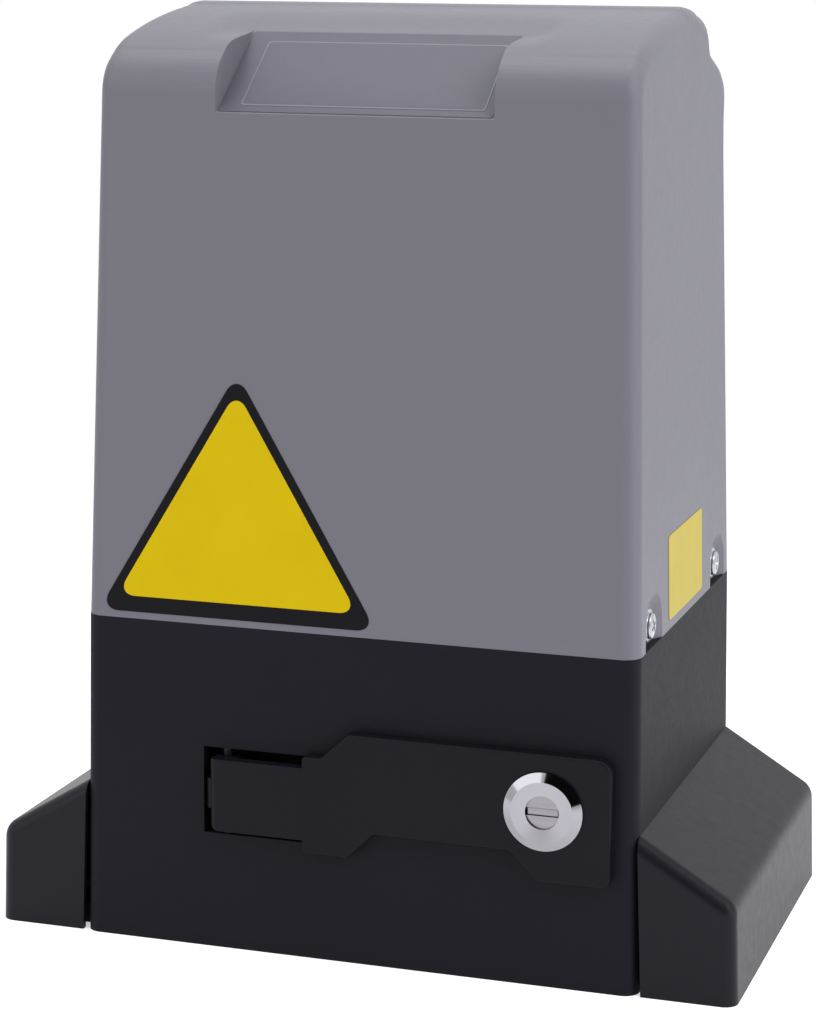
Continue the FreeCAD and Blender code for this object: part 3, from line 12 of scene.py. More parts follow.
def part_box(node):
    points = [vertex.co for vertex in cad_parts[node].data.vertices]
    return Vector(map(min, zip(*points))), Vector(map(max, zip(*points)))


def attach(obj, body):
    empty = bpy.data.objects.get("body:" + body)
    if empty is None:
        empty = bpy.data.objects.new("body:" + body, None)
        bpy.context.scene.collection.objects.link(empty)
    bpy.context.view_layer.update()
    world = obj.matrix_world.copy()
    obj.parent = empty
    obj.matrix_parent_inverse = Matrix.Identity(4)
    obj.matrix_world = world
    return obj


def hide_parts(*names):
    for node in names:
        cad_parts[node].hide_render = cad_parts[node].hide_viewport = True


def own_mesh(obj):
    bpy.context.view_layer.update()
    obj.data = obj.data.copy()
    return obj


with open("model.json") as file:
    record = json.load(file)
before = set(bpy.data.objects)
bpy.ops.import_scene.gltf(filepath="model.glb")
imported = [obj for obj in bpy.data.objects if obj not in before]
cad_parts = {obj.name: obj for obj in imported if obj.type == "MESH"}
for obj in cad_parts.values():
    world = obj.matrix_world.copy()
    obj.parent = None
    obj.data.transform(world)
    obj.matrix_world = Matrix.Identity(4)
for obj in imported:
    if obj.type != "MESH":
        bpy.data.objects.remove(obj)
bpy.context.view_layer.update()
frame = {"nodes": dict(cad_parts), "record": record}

LOG = logging.getLogger("gate_motor")
MM = 0.001
RECESS_LOW = (-74.7 * MM, 325.5 * MM)  # Y and Z of the front edge of the cover's sloping recess
RECESS_HIGH = (-34.7 * MM, 354.3 * MM)  # Y and Z of its back edge


class Side(Enum):
    """Side of the motor, by its sign along X."""

    LEFT = -1
    RIGHT = 1


class End(Enum):
    """End of the motor, by its sign along Y."""

    FRONT = -1
    BACK = 1


class Joining(Enum):
    """What one piece does to another."""

    CUT = "DIFFERENCE"
    WELD = "UNION"


# ------------------------------------------------------------------ finishes


def rgb(red: int, green: int, blue: int) -> tuple[float, float, float, float]:
    """Turns a display colour into the linear one that shaders use.

    Args:
        red: Red from 0 to 255.
        green: Green from 0 to 255.
        blue: Blue from 0 to 255.

    Returns:
        The linear colour with full alpha.
    """
    linear = []
    for value in (red, green, blue):
        share = value / 255
        low = share <= 0.04045
        linear.append(share / 12.92 if low else ((share + 0.055) / 1.055) ** 2.4)
    return (linear[0], linear[1], linear[2], 1.0)


def shade(colour: Sequence[float], gain: float) -> tuple[float, float, float, float]:
    """Scales a linear colour.

    Args:
        colour: Linear colour.
        gain: Factor on red, green and blue.

    Returns:
        The scaled colour with full alpha.
    """
    return (colour[0] * gain, colour[1] * gain, colour[2] * gain, 1.0)


def chain(tree: bpy.types.NodeTree, kind: str, *sources: bpy.types.NodeSocket) -> bpy.types.Node:
    """Adds a node and feeds its first inputs.

    Args:
        tree: Node tree of a material or of the world.
        kind: Type of the node.
        sources: Sockets for its first inputs, in their order.

    Returns:
        The new node.
    """
    node = tree.nodes.new(kind)
    for entry, source in zip(node.inputs, sources):
        tree.links.new(source, entry)
    return node


class ShaderSheet:
    """Node tree of one material, with short ways to add what the finishes share."""

    noise_rough: float = 0.55
    ramp_span: tuple[float, float] = (0.35, 0.65)

    def __init__(self, name: str) -> None:
        """Starts an empty material with a principled shader.

        Args:
            name: Name of the material.
        """
        self.material = bpy.data.materials.new(name)
        self.material.use_nodes = True
        self.tree = self.material.node_tree
        self.nodes = self.tree.nodes
        self.links = self.tree.links
        self.shader = self.nodes["Principled BSDF"]
        self.place = self.nodes.new("ShaderNodeTexCoord").outputs["Object"]

    def noise(self, scale: float, detail: float = 4.0) -> bpy.types.NodeSocket:
        """Adds a noise pattern over the object's own coordinates.

        Args:
            scale: Pattern size, in repeats per metre.
            detail: Octaves of the noise.

        Returns:
            The pattern's value from 0 to 1.
        """
        node = self.nodes.new("ShaderNodeTexNoise")
        node.inputs["Scale"].default_value = scale
        node.inputs["Detail"].default_value = detail
        node.inputs["Roughness"].default_value = self.noise_rough
        self.links.new(self.place, node.inputs["Vector"])
        return node.outputs["Fac"]

    def cells(self, scale: float) -> bpy.types.NodeSocket:
        """Adds a smooth cell pattern.

        Args:
            scale: Pattern size, in repeats per metre.

        Returns:
            The distance to the nearest cell centre.
        """
        node = self.nodes.new("ShaderNodeTexVoronoi")
        node.feature = "SMOOTH_F1"
        node.inputs["Scale"].default_value = scale
        self.links.new(self.place, node.inputs["Vector"])
        return node.outputs["Distance"]

    def stretched(self, scale: Sequence[float]) -> bpy.types.NodeSocket:
        """Adds noise that is stretched into fine lines.

        Args:
            scale: Repeats per metre along X, Y and Z.

        Returns:
            The pattern's value from 0 to 1.
        """
        mapping = self.nodes.new("ShaderNodeMapping")
        mapping.inputs["Scale"].default_value = scale
        self.links.new(self.place, mapping.inputs["Vector"])
        node = self.nodes.new("ShaderNodeTexNoise")
        node.inputs["Scale"].default_value = 1.0
        node.inputs["Detail"].default_value = 3.0
        self.links.new(mapping.outputs["Vector"], node.inputs["Vector"])
        return node.outputs["Fac"]

    def ramp(
        self, value: bpy.types.NodeSocket, low: Sequence[float], high: Sequence[float]
    ) -> bpy.types.NodeSocket:
        """Blends two colours by a pattern.

        Args:
            value: Pattern that chooses the colour.
            low: Colour at the low end.
            high: Colour at the high end.

        Returns:
            The blended colour.
        """
        node = self.nodes.new("ShaderNodeValToRGB")
        for element, place, tint in zip(node.color_ramp.elements, self.ramp_span, (low, high)):
            element.position = place
            element.color = tint
        self.links.new(value, node.inputs["Fac"])
        return node.outputs["Color"]

    def spread(self, value: bpy.types.NodeSocket, low: float, high: float) -> bpy.types.NodeSocket:
        """Maps a pattern onto a range of values.

        Args:
            value: Pattern from 0 to 1.
            low: Result at 0.
            high: Result at 1.

        Returns:
            The mapped value.
        """
        node = self.nodes.new("ShaderNodeMapRange")
        node.inputs["To Min"].default_value = low
        node.inputs["To Max"].default_value = high
        self.links.new(value, node.inputs["Value"])
        return node.outputs["Result"]

    def bump(self, height: bpy.types.NodeSocket, depth: float) -> None:
        """Adds relief under whatever relief the shader already has.

        Args:
            height: Pattern that gives the height.
            depth: Height of the relief in metres.
        """
        node = self.nodes.new("ShaderNodeBump")
        node.inputs["Distance"].default_value = depth
        self.links.new(height, node.inputs["Height"])
        normal = self.shader.inputs["Normal"]
        if normal.is_linked:
            self.links.new(normal.links[0].from_socket, node.inputs["Normal"])
        self.links.new(node.outputs["Normal"], normal)

    def colour(self, socket: bpy.types.NodeSocket) -> None:
        """Feeds the base colour."""
        self.links.new(socket, self.shader.inputs["Base Color"])

    def roughness(self, socket: bpy.types.NodeSocket) -> None:
        """Feeds the roughness."""
        self.links.new(socket, self.shader.inputs["Roughness"])


@dataclass(frozen=True)
class Finish:
    """Named finish in one colour. Each kind adds its own sheen and relief."""

    name: str
    colour: tuple[float, float, float, float]

    def dress(self, sheet: ShaderSheet) -> None:
        """Adds the finish to an empty material.

        Args:
            sheet: Material to dress.
        """
        raise NotImplementedError

    def build(self) -> bpy.types.Material:
        """Makes the material.

        Returns:
            The new material.
        """
        sheet = ShaderSheet(self.name)
        self.dress(sheet)
        return sheet.material


@dataclass(frozen=True)
class Moulded(Finish):
    """Moulded plastic or rubber with a fine spark-eroded grain."""

    rough: float = 0.5
    grain: float = 900.0
    grain_depth: float = 0.00012
    specular: float = 0.4
    mottle: float = 0.05

    def dress(self, sheet: ShaderSheet) -> None:
        """Adds a faint mottle and the moulded grain.

        Args:
            sheet: Material to dress.
        """
        low = shade(self.colour, 1 - self.mottle)
        high = shade(self.colour, 1 + self.mottle)
        sheet.colour(sheet.ramp(sheet.noise(14.0), low, high))
        sheet.roughness(sheet.spread(sheet.noise(self.grain / 3), self.rough - 0.06, self.rough + 0.06))
        sheet.bump(sheet.noise(self.grain, 3.0), self.grain_depth)
        sheet.bump(sheet.cells(self.grain * 0.8), self.grain_depth * 0.6)
        sheet.shader.inputs["Specular IOR Level"].default_value = self.specular


@dataclass(frozen=True)
class Plated(Finish):
    """Polished or brushed metal with faint marks."""

    rough: float = 0.2
    lines: tuple[float, float, float] = (300.0, 300.0, 300.0)
    marks: float = 0.00002

    def dress(self, sheet: ShaderSheet) -> None:
        """Adds the metal's sheen and its fine lines.

        Args:
            sheet: Material to dress.
        """
        sheet.shader.inputs["Metallic"].default_value = 1.0
        streaks = sheet.stretched(self.lines)
        sheet.colour(sheet.ramp(streaks, shade(self.colour, 0.92), self.colour))
        sheet.roughness(sheet.spread(sheet.noise(120.0), self.rough * 0.75, self.rough * 1.35))
        sheet.bump(streaks, self.marks)


@dataclass(frozen=True)
class Cast(Finish):
    """Raw casting with a sandy skin."""

    rough: float = 0.55

    def dress(self, sheet: ShaderSheet) -> None:
        """Adds the dull metal and its sandy skin.

        Args:
            sheet: Material to dress.
        """
        sheet.shader.inputs["Metallic"].default_value = 0.85
        sheet.colour(sheet.ramp(sheet.noise(60.0), shade(self.colour, 0.8), self.colour))
        sheet.roughness(sheet.spread(sheet.noise(200.0), self.rough - 0.1, self.rough + 0.1))
        sheet.bump(sheet.noise(700.0, 6.0), 0.0003)


@dataclass(frozen=True)
class Printed(Finish):
    """Ink or film on a thin plate, slightly uneven and satin."""

    rough: float = 0.38
    wear: float = 0.06
    specular: float = 0.22

    def dress(self, sheet: ShaderSheet) -> None:
        """Adds the film's slight wear and its satin sheen.

        Args:
            sheet: Material to dress.
        """
        low = shade(self.colour, 1 - self.wear)
        sheet.colour(sheet.ramp(sheet.noise(45.0, 6.0), low, self.colour))
        sheet.roughness(sheet.spread(sheet.noise(260.0), self.rough - 0.05, self.rough + 0.07))
        sheet.bump(sheet.noise(350.0, 2.0), 0.00003)
        sheet.shader.inputs["Specular IOR Level"].default_value = self.specular


@dataclass(frozen=True)
class Wound(Finish):
    """Windings: lacquered copper wire in fine turns."""

    turns: tuple[float, float, float] = (20.0, 20.0, 900.0)

    def dress(self, sheet: ShaderSheet) -> None:
        """Adds the strands of wire.

        Args:
            sheet: Material to dress.
        """
        sheet.shader.inputs["Metallic"].default_value = 0.6
        strands = sheet.stretched(self.turns)
        sheet.colour(sheet.ramp(strands, shade(self.colour, 0.55), self.colour))
        sheet.roughness(sheet.spread(strands, 0.3, 0.5))
        sheet.bump(strands, 0.0004)


FINISHES: dict[str, Finish] = {
    "base_paint": Moulded("powder_coat", rgb(24, 23, 31), 0.58, 900.0, 0.00006, 0.12),
    "cover_plastic": Moulded("cover_grain", rgb(117, 116, 126), 0.45, 700.0, 0.00003, 0.33, 0.015),
    "foot_plastic": Moulded("foot_grain", rgb(21, 20, 29), 0.38, 600.0, 0.00002, 0.17),
    "lever_plastic": Moulded("lever_grain", rgb(20, 19, 26), 0.42, 900.0, 0.00003, 0.12),
    "chrome": Plated("chrome_plate", rgb(164, 162, 168), 0.09, (60.0, 60.0, 60.0), 0.000006),
    "satin_chrome": Plated("satin_chrome", rgb(150, 147, 152), 0.3, (40.0, 40.0, 900.0)),
    "black_oxide": Plated("black_oxide", rgb(44, 44, 48), 0.45),
    "zinc_steel": Plated("zinc_plate", rgb(186, 188, 192), 0.28),
    "tool_steel": Plated("ground_steel", rgb(150, 152, 156), 0.3, (900.0, 40.0, 900.0)),
    "gear_steel": Plated("gear_steel", rgb(122, 122, 128), 0.38, (700.0, 60.0, 700.0)),
    "bronze": Plated("gear_bronze", rgb(190, 146, 82), 0.34, (600.0, 60.0, 600.0)),
    "cast_aluminium": Cast("cast_aluminium", rgb(168, 170, 174)),
    "motor_paint": Moulded("motor_paint", rgb(52, 54, 58), 0.45, 700.0),
    "copper": Wound("copper_winding", rgb(178, 104, 60)),
    "rubber": Moulded("rubber", rgb(26, 26, 28), 0.75, 500.0, 0.0002, 0.25),
    "board": Printed("board_mask", rgb(22, 96, 50), 0.3, 0.2),
    "black_plastic": Moulded("black_moulding", rgb(30, 30, 33), 0.4),
    "relay_plastic": Moulded("relay_case", rgb(38, 74, 136), 0.3, 300.0, 0.00004),
    "terminal_plastic": Moulded("terminal_case", rgb(46, 128, 66), 0.35, 300.0, 0.00004),
    "can": Moulded("capacitor_can", rgb(214, 214, 210), 0.35, 400.0, 0.00004),
    "spring_steel": Plated("spring_wire", rgb(150, 150, 154), 0.25),
    "sign_black": Printed("sign_border", rgb(19, 18, 23), 0.45, 0.06, 0.1),
    "sign_yellow": Printed("sign_field", rgb(221, 191, 0), 0.5, 0.04, 0.12),
    "rating_yellow": Printed("rating_film", rgb(201, 182, 76), 0.5, 0.05),
    "label_bead": Moulded("label_bead", rgb(118, 118, 130), 0.4, 700.0, 0.00002, 0.4, 0.02),
    # label_film is darker than the cover: it is painted shade of the recess floor, worn by the recess
    # liner and the label pad
    "label_film": Moulded("recess_shade_liner", rgb(91, 90, 102), 0.45, 700.0, 0.00003, 0.3, 0.02),
}


class Paintbox:
    """Makes each finish once and hands it out."""

    def __init__(self) -> None:
        """Starts with no material made."""
        self.made: dict[str, bpy.types.Material] = {}

    def get(self, name: str) -> bpy.types.Material:
        """Returns the material of a finish.

        Args:
            name: Key in FINISHES.

        Returns:
            The material, made on first use.
        """
        if name not in self.made:
            self.made[name] = FINISHES[name].build()
        return self.made[name]


# ------------------------------------------------------------------ bench tools


def clear_selection() -> None:
    """Deselects every object."""
    if bpy.context.object and bpy.context.object.mode != "OBJECT":
        bpy.ops.object.mode_set(mode="OBJECT")
    bpy.ops.object.select_all(action="DESELECT")


def focus(piece: bpy.types.Object) -> None:
    """Makes one object selected and active.

    Args:
        piece: Object that the next operators act on.
    """
    clear_selection()
    piece.select_set(True)
    bpy.context.view_layer.objects.active = piece


def newest(name: str) -> bpy.types.Object:
    """Names the primitive that was just added, and its mesh.

    Args:
        name: Name of the piece.

    Returns:
        The new object, active and alone in the selection.
    """
    piece = bpy.context.object
    piece.name = name
    piece.data.name = name
    return piece


def bake_place() -> None:
    """Puts the active piece's place, turn and scale into its mesh."""
    bpy.ops.object.transform_apply(location=True, rotation=True, scale=True)


def select_nothing(mesh: bpy.types.Mesh) -> None:
    """Deselects every point, edge and face of a mesh in object mode."""
    for part in (mesh.vertices, mesh.edges, mesh.polygons):
        part.foreach_set("select", [False] * len(part))


def keep_faces(piece: bpy.types.Object, test: Callable[[bpy.types.MeshPolygon], bool]) -> None:
    """Enters edit mode with only the faces that pass a test selected.

    Args:
        piece: Mesh to edit.
        test: Says whether a face is selected.
    """
    mesh = piece.data
    select_nothing(mesh)
    for polygon in mesh.polygons:
        polygon.select = test(polygon)
    bpy.context.tool_settings.mesh_select_mode = (False, False, True)
    bpy.ops.object.mode_set(mode="EDIT")


def keep_edges(piece: bpy.types.Object, test: Callable[[Vector, Vector], bool]) -> None:
    """Enters edit mode with only the edges that pass a test selected.

    Args:
        piece: Mesh to edit.
        test: Says whether an edge between two points is selected.
    """
    mesh = piece.data
    select_nothing(mesh)
    for edge in mesh.edges:
        start, end = (mesh.vertices[index].co for index in edge.vertices)
        edge.select = test(start, end)
        if edge.select:
            for index in edge.vertices:
                mesh.vertices[index].select = True
    bpy.context.tool_settings.mesh_select_mode = (False, True, False)
    bpy.ops.object.mode_set(mode="EDIT")


def leave_edit() -> None:
    """Goes back to object mode."""
    bpy.ops.object.mode_set(mode="OBJECT")


def inset_and_push(
    piece: bpy.types.Object,
    steps: Iterable[tuple[float, float]],
    up: float,
) -> None:
    """Insets the face at a height and pushes it along Z, again and again.

    Args:
        piece: Mesh whose flat top is worked.
        steps: Inset and push of each step, in metres.
        up: Height of the face to start from.
    """
    keep_faces(piece, lambda face: face.normal.z > 0.9 and abs(face.center.z - up) < 1e-6)
    for inward, push in steps:
        if inward:
            bpy.ops.mesh.inset(thickness=inward, depth=0)
        if push:
            bpy.ops.transform.translate(value=(0, 0, push))
    leave_edit()


def apply_modifiers(piece: bpy.types.Object) -> None:
    """Applies every modifier of a piece.

    Args:
        piece: Piece whose mesh takes the modifiers' result.
    """
    focus(piece)
    for modifier in list(piece.modifiers):
        bpy.ops.object.modifier_apply(modifier=modifier.name)


def soften(piece: bpy.types.Object, width: float, segments: int = 3, angle: float = 35.0) -> None:
    """Rounds a piece's sharp edges.

    Args:
        piece: Mesh to round.
        width: Width of the rounding in metres.
        segments: Steps across the rounding.
        angle: Edges sharper than this many degrees are rounded.
    """
    modifier = piece.modifiers.new("soften", "BEVEL")
    modifier.width = width
    modifier.segments = segments
    modifier.limit_method = "ANGLE"
    modifier.angle_limit = math.radians(angle)
    apply_modifiers(piece)


def smooth(piece: bpy.types.Object, angle: float = 32.0) -> None:
    """Shades a piece smooth except across sharp edges."""
    focus(piece)
    bpy.ops.object.shade_smooth_by_angle(angle=math.radians(angle))


def settle(piece: bpy.types.Object, turn: Sequence[float], spot: Sequence[float]) -> None:
    """Turns and moves a piece, then puts its place into its mesh.

    Args:
        piece: Piece made round the origin.
        turn: Turn about X, Y and Z in degrees.
        spot: Place in metres.
    """
    focus(piece)
    piece.rotation_euler = [math.radians(angle) for angle in turn]
    piece.location = spot
    bake_place()


def right_way_out(piece: bpy.types.Object) -> None:
    """Merges doubles and points every face outwards.

    Args:
        piece: Closed mesh to put right.
    """
    focus(piece)
    bpy.ops.object.mode_set(mode="EDIT")
    bpy.ops.mesh.select_all(action="SELECT")
    bpy.ops.mesh.remove_doubles(threshold=1e-6)
    bpy.ops.mesh.normals_make_consistent(inside=False)
    leave_edit()


def slab(name: str, width: float, height: float, thick: float) -> bpy.types.Object:
    """Adds a flat block standing on the XY plane.

    Args:
        name: Name of the piece.
        width: Size along X in metres.
        height: Size along Y in metres.
        thick: Size along Z in metres.

    Returns:
        The new object, active and alone in the selection.
    """
    clear_selection()
    bpy.ops.mesh.primitive_cube_add(size=1.0)
    piece = newest(name)
    piece.scale = (width, height, thick)
    piece.location = (0, 0, thick / 2)
    bake_place()
    return piece


def drum(name: str, radius: float, length: float, sides: int) -> bpy.types.Object:
    """Adds a cylinder standing on the XY plane.

    Args:
        name: Name of the piece.
        radius: Radius in metres.
        length: Length along Z in metres.
        sides: Number of sides.

    Returns:
        The new object, active and alone in the selection.
    """
    clear_selection()
    bpy.ops.mesh.primitive_cylinder_add(
        vertices=sides, radius=radius, depth=length, location=(0, 0, length / 2)
    )
    piece = newest(name)
    bake_place()
    return piece


def stepped(name: str, sides: int, profile: Sequence[tuple[float, float]]) -> bpy.types.Object:
    """Builds a turned solid about Z by extruding a disc from step to step.

    Args:
        name: Name of the piece.
        sides: Number of sides.
        profile: Radius and height of each step in metres, from the bottom up.

    Returns:
        The solid, closed at both ends, with its faces outwards.
    """
    clear_selection()
    radius, height = profile[0]
    bpy.ops.mesh.primitive_circle_add(
        vertices=sides, radius=radius, fill_type="NGON", location=(0, 0, height)
    )
    piece = newest(name)
    bake_place()
    bpy.ops.object.mode_set(mode="EDIT")
    bpy.ops.mesh.select_all(action="SELECT")
    for to_radius, to_height in profile[1:]:
        rise = {"value": (0, 0, to_height - height)}
        bpy.ops.mesh.extrude_region_move(TRANSFORM_OT_translate=rise)
        grow = to_radius / radius
        bpy.ops.transform.resize(value=(grow, grow, 1), center_override=(0, 0, to_height))
        radius, height = to_radius, to_height
    leave_edit()
    right_way_out(piece)
    return piece


def round_uprights(piece: bpy.types.Object, radius: float, segments: int = 8) -> None:
    """Rounds the edges of a slab that stand along Z.

    Args:
        piece: Slab to round.
        radius: Radius in metres.
        segments: Steps round each corner.
    """
    focus(piece)
    keep_edges(piece, lambda a, b: abs((a - b).normalized().z) > 0.9)
    bpy.ops.mesh.bevel(offset=radius, segments=segments, affect="EDGES")
    leave_edit()


def combine(piece: bpy.types.Object, tool: bpy.types.Object, way: Joining) -> None:
    """Cuts one piece with another or welds the two, and throws the tool away.

    Args:
        piece: Piece that stays.
        tool: Piece that is cut out of it or welded to it.
        way: Whether the tool cuts or is welded on.
    """
    modifier = piece.modifiers.new("combine", "BOOLEAN")
    modifier.operation = way.value
    modifier.object = tool
    modifier.solver = "EXACT"
    apply_modifiers(piece)
    bpy.data.objects.remove(tool)


def copy_of(piece: bpy.types.Object, name: str) -> bpy.types.Object:
    """Copies a piece with a mesh of its own.

    Args:
        piece: Piece to copy.
        name: Name of the copy.

    Returns:
        The copy, linked to the scene.
    """
    twin = piece.copy()
    twin.data = piece.data.copy()
    twin.name = name
    twin.data.name = name
    bpy.context.scene.collection.objects.link(twin)
    return twin


# ------------------------------------------------------------------ sub-assemblies


@dataclass
class SubAssembly:
    """Base of the sub-assemblies: dresses a piece, hangs it on a body and reports it."""

    paints: Paintbox

    def fit(self, piece: bpy.types.Object, finish: str, body: str, slot: Optional[str] = None) -> None:
        """Paints a finished piece and rides it on its body.

        Args:
            piece: Piece with its place in its mesh.
            finish: Key in FINISHES.
            body: CAD body that carries it.
            slot: Not used.
        """
        piece.data.materials.clear()
        piece.data.materials.append(self.paints.get(finish))
        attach(piece, body)
        LOG.info("%s rides on %s", piece.name, body)


@dataclass
class Signs(SubAssembly):
    """Bare plates on the cover: warning triangle, rating film and front label."""

    film: float = 0.25 * MM
    film_round: float = 0.08 * MM
    front_lean: float = 1.992
    side_lean: float = 1.6
    triangle: tuple[float, float] = (114.3 * MM, 95.6 * MM)
    triangle_middle: float = -47.75 * MM
    triangle_foot: float = 2.7 * MM
    field_size: tuple[float, float] = (98.9 * MM, 82.5 * MM)
    field_rise: float = 6.3 * MM
    field_corner: float = 4.3 * MM
    field_round: float = 0.05 * MM
    field_proud: float = 0.6
    flat_edge: float = 18.0
    corner: float = 4.8 * MM
    rating: tuple[float, float] = (58.0 * MM, 33.0 * MM)
    rating_middle: float = -2.6 * MM
    rating_foot: float = 3.6 * MM
    rating_corner: float = 2.0 * MM
    recess_low: tuple[float, float] = RECESS_LOW
    recess_high: tuple[float, float] = RECESS_HIGH
    label: tuple[float, float] = (95.6 * MM, 38.4 * MM)
    label_middle: tuple[float, float] = (-0.4 * MM, 0.475)
    label_rise: float = 0.55 * MM
    bead: float = 0.6 * MM
    pad_proud: float = 0.08 * MM
    # The liner is a darker plate over the recess floor that carries the floor's painted shade
    shade_liner: tuple[float, float] = (107.3 * MM, 47.8 * MM)
    shade_liner_middle: tuple[float, float] = (-2.65 * MM, 0.5)
    shade_liner_rise: float = 0.3 * MM
    liner_corner: float = 1.4 * MM

    def on_front(self, z: float) -> float:
        """Returns the Y of the cover's drafted front face at a height."""
        low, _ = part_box("top_cover")
        return low.y + (z - low.z) * math.tan(math.radians(self.front_lean))

    def rounded_triangle(self, name: str, width: float, height: float, radius: float) -> bpy.types.Object:
        """Makes a thin triangle with its foot on the X axis and rounded corners.

        Args:
            name: Name of the piece.
            width: Length of the foot before rounding.
            height: Height before rounding.
            radius: Corner radius.

        Returns:
            The triangle, lying in the XY plane and facing +Z.
        """
        clear_selection()
        bpy.ops.mesh.primitive_cylinder_add(vertices=3, radius=1.0, depth=self.film)
        piece = newest(name)
        points = sorted({(round(v.co.x, 5), round(v.co.y, 5)) for v in piece.data.vertices})
        span_x = points[-1][0] - points[0][0]
        ys = [point[1] for point in points]
        span_y = max(ys) - min(ys)
        flip = -1.0 if sum(1 for y in ys if abs(y - max(ys)) < 1e-4) == 2 else 1.0
        piece.scale = (width / span_x, flip * height / span_y, 1.0)
        bpy.ops.object.transform_apply(location=False, rotation=False, scale=True)
        low = min(vertex.co.y for vertex in piece.data.vertices)
        middle = (points[0][0] + points[-1][0]) / 2 * width / span_x
        piece.location = (-middle, -low, self.film / 2)
        bpy.ops.object.transform_apply(location=True, rotation=False, scale=False)
        right_way_out(piece)
        round_uprights(piece, radius * math.tan(math.radians(60)), 10)
        return piece

    def warning_triangle(self) -> None:
        """Makes the black-bordered yellow triangle with its field left bare."""
        width, height = self.triangle
        foot_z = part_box("top_cover")[0].z + self.triangle_foot
        spot = Vector((self.triangle_middle, self.on_front(foot_z), foot_z))
        tilt = 90 - self.front_lean
        edge = self.rounded_triangle("warning_border", width, height, self.corner)
        soften(edge, self.film_round, 2, 60)
        settle(edge, (tilt, 0, 0), spot)
        smooth(edge, self.flat_edge)
        self.fit(edge, "sign_black", "housing", "cover_plastic")
        field_width, field_height = self.field_size
        inner = self.rounded_triangle("warning_field", field_width, field_height, self.field_corner)
        soften(inner, self.field_round, 2, 60)
        lean = math.radians(self.front_lean)
        up_face = Vector((0, math.sin(lean), math.cos(lean)))
        out_face = Vector((0, -math.cos(lean), math.sin(lean)))
        lift = out_face * self.film * self.field_proud
        settle(inner, (tilt, 0, 0), spot + up_face * self.field_rise + lift)
        smooth(inner, self.flat_edge)
        self.fit(inner, "sign_yellow", "housing", "cover_plastic")

    def rating_plate(self) -> None:
        """Makes the blank rating film low on the right side."""
        low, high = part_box("top_cover")
        width, height = self.rating
        plate = slab("rating_plate", width, height, self.film)
        round_uprights(plate, self.rating_corner)
        soften(plate, self.film_round, 2, 60)
        middle_z = low.z + self.rating_foot + height / 2
        x = high.x - (middle_z - low.z) * math.tan(math.radians(self.side_lean))
        settle(plate, (90 - self.side_lean, 0, 90), (x, self.rating_middle, middle_z))
        smooth(plate, self.flat_edge)
        self.fit(plate, "rating_yellow", "housing", "cover_plastic")

    def in_recess(
        self, name: str, size: tuple[float, float], thick: float, place: tuple[float, float]
    ) -> bpy.types.Object:
        """Makes a plate that lies on the sloping floor of the recess.

        Args:
            name: Name of the piece.
            size: Width across and height up the slope in metres.
            thick: Thickness in metres.
            place: X of the plate's middle in metres, and its share of the way up the slope.

        Returns:
            The plate with its place in its mesh.
        """
        low = Vector((0, *self.recess_low))
        run = Vector((0, *self.recess_high)) - low
        plate = slab(name, size[0], size[1], thick)
        round_uprights(plate, self.liner_corner, 5)
        soften(plate, min(0.35 * MM, thick * 0.6), 3, 50)
        across, share = place
        spot = low + run * share
        spot.x = across
        settle(plate, (math.degrees(math.atan2(run.z, run.y)), 0, 0), spot)
        smooth(plate, self.flat_edge)
        return plate

    def front_label(self) -> None:
        """Makes the recess's liner, a darker plate that paints the shade of the recess floor, and the
        bare raised pad on it, which wears the same painted shade.
        """
        # The liner's darker colour is painted shade on the recess floor
        shade_liner = self.in_recess("recess_shade_liner", self.shade_liner, self.shade_liner_rise, self.shade_liner_middle)
        self.fit(shade_liner, "label_film", "housing", "cover_plastic")
        bead = self.in_recess("label_bead", self.label, self.label_rise, self.label_middle)
        self.fit(bead, "label_bead", "housing", "cover_plastic")
        inner = (self.label[0] - 2 * self.bead, self.label[1] - 2 * self.bead)
        pad = self.in_recess("front_label", inner, self.label_rise + self.pad_proud, self.label_middle)
        # The pad wears the same darker colour: painted shade of the recess
        self.fit(pad, "label_film", "housing", "cover_plastic")

    def build(self) -> None:
        """Makes every plate."""
        self.warning_triangle()
        self.rating_plate()
        self.front_label()


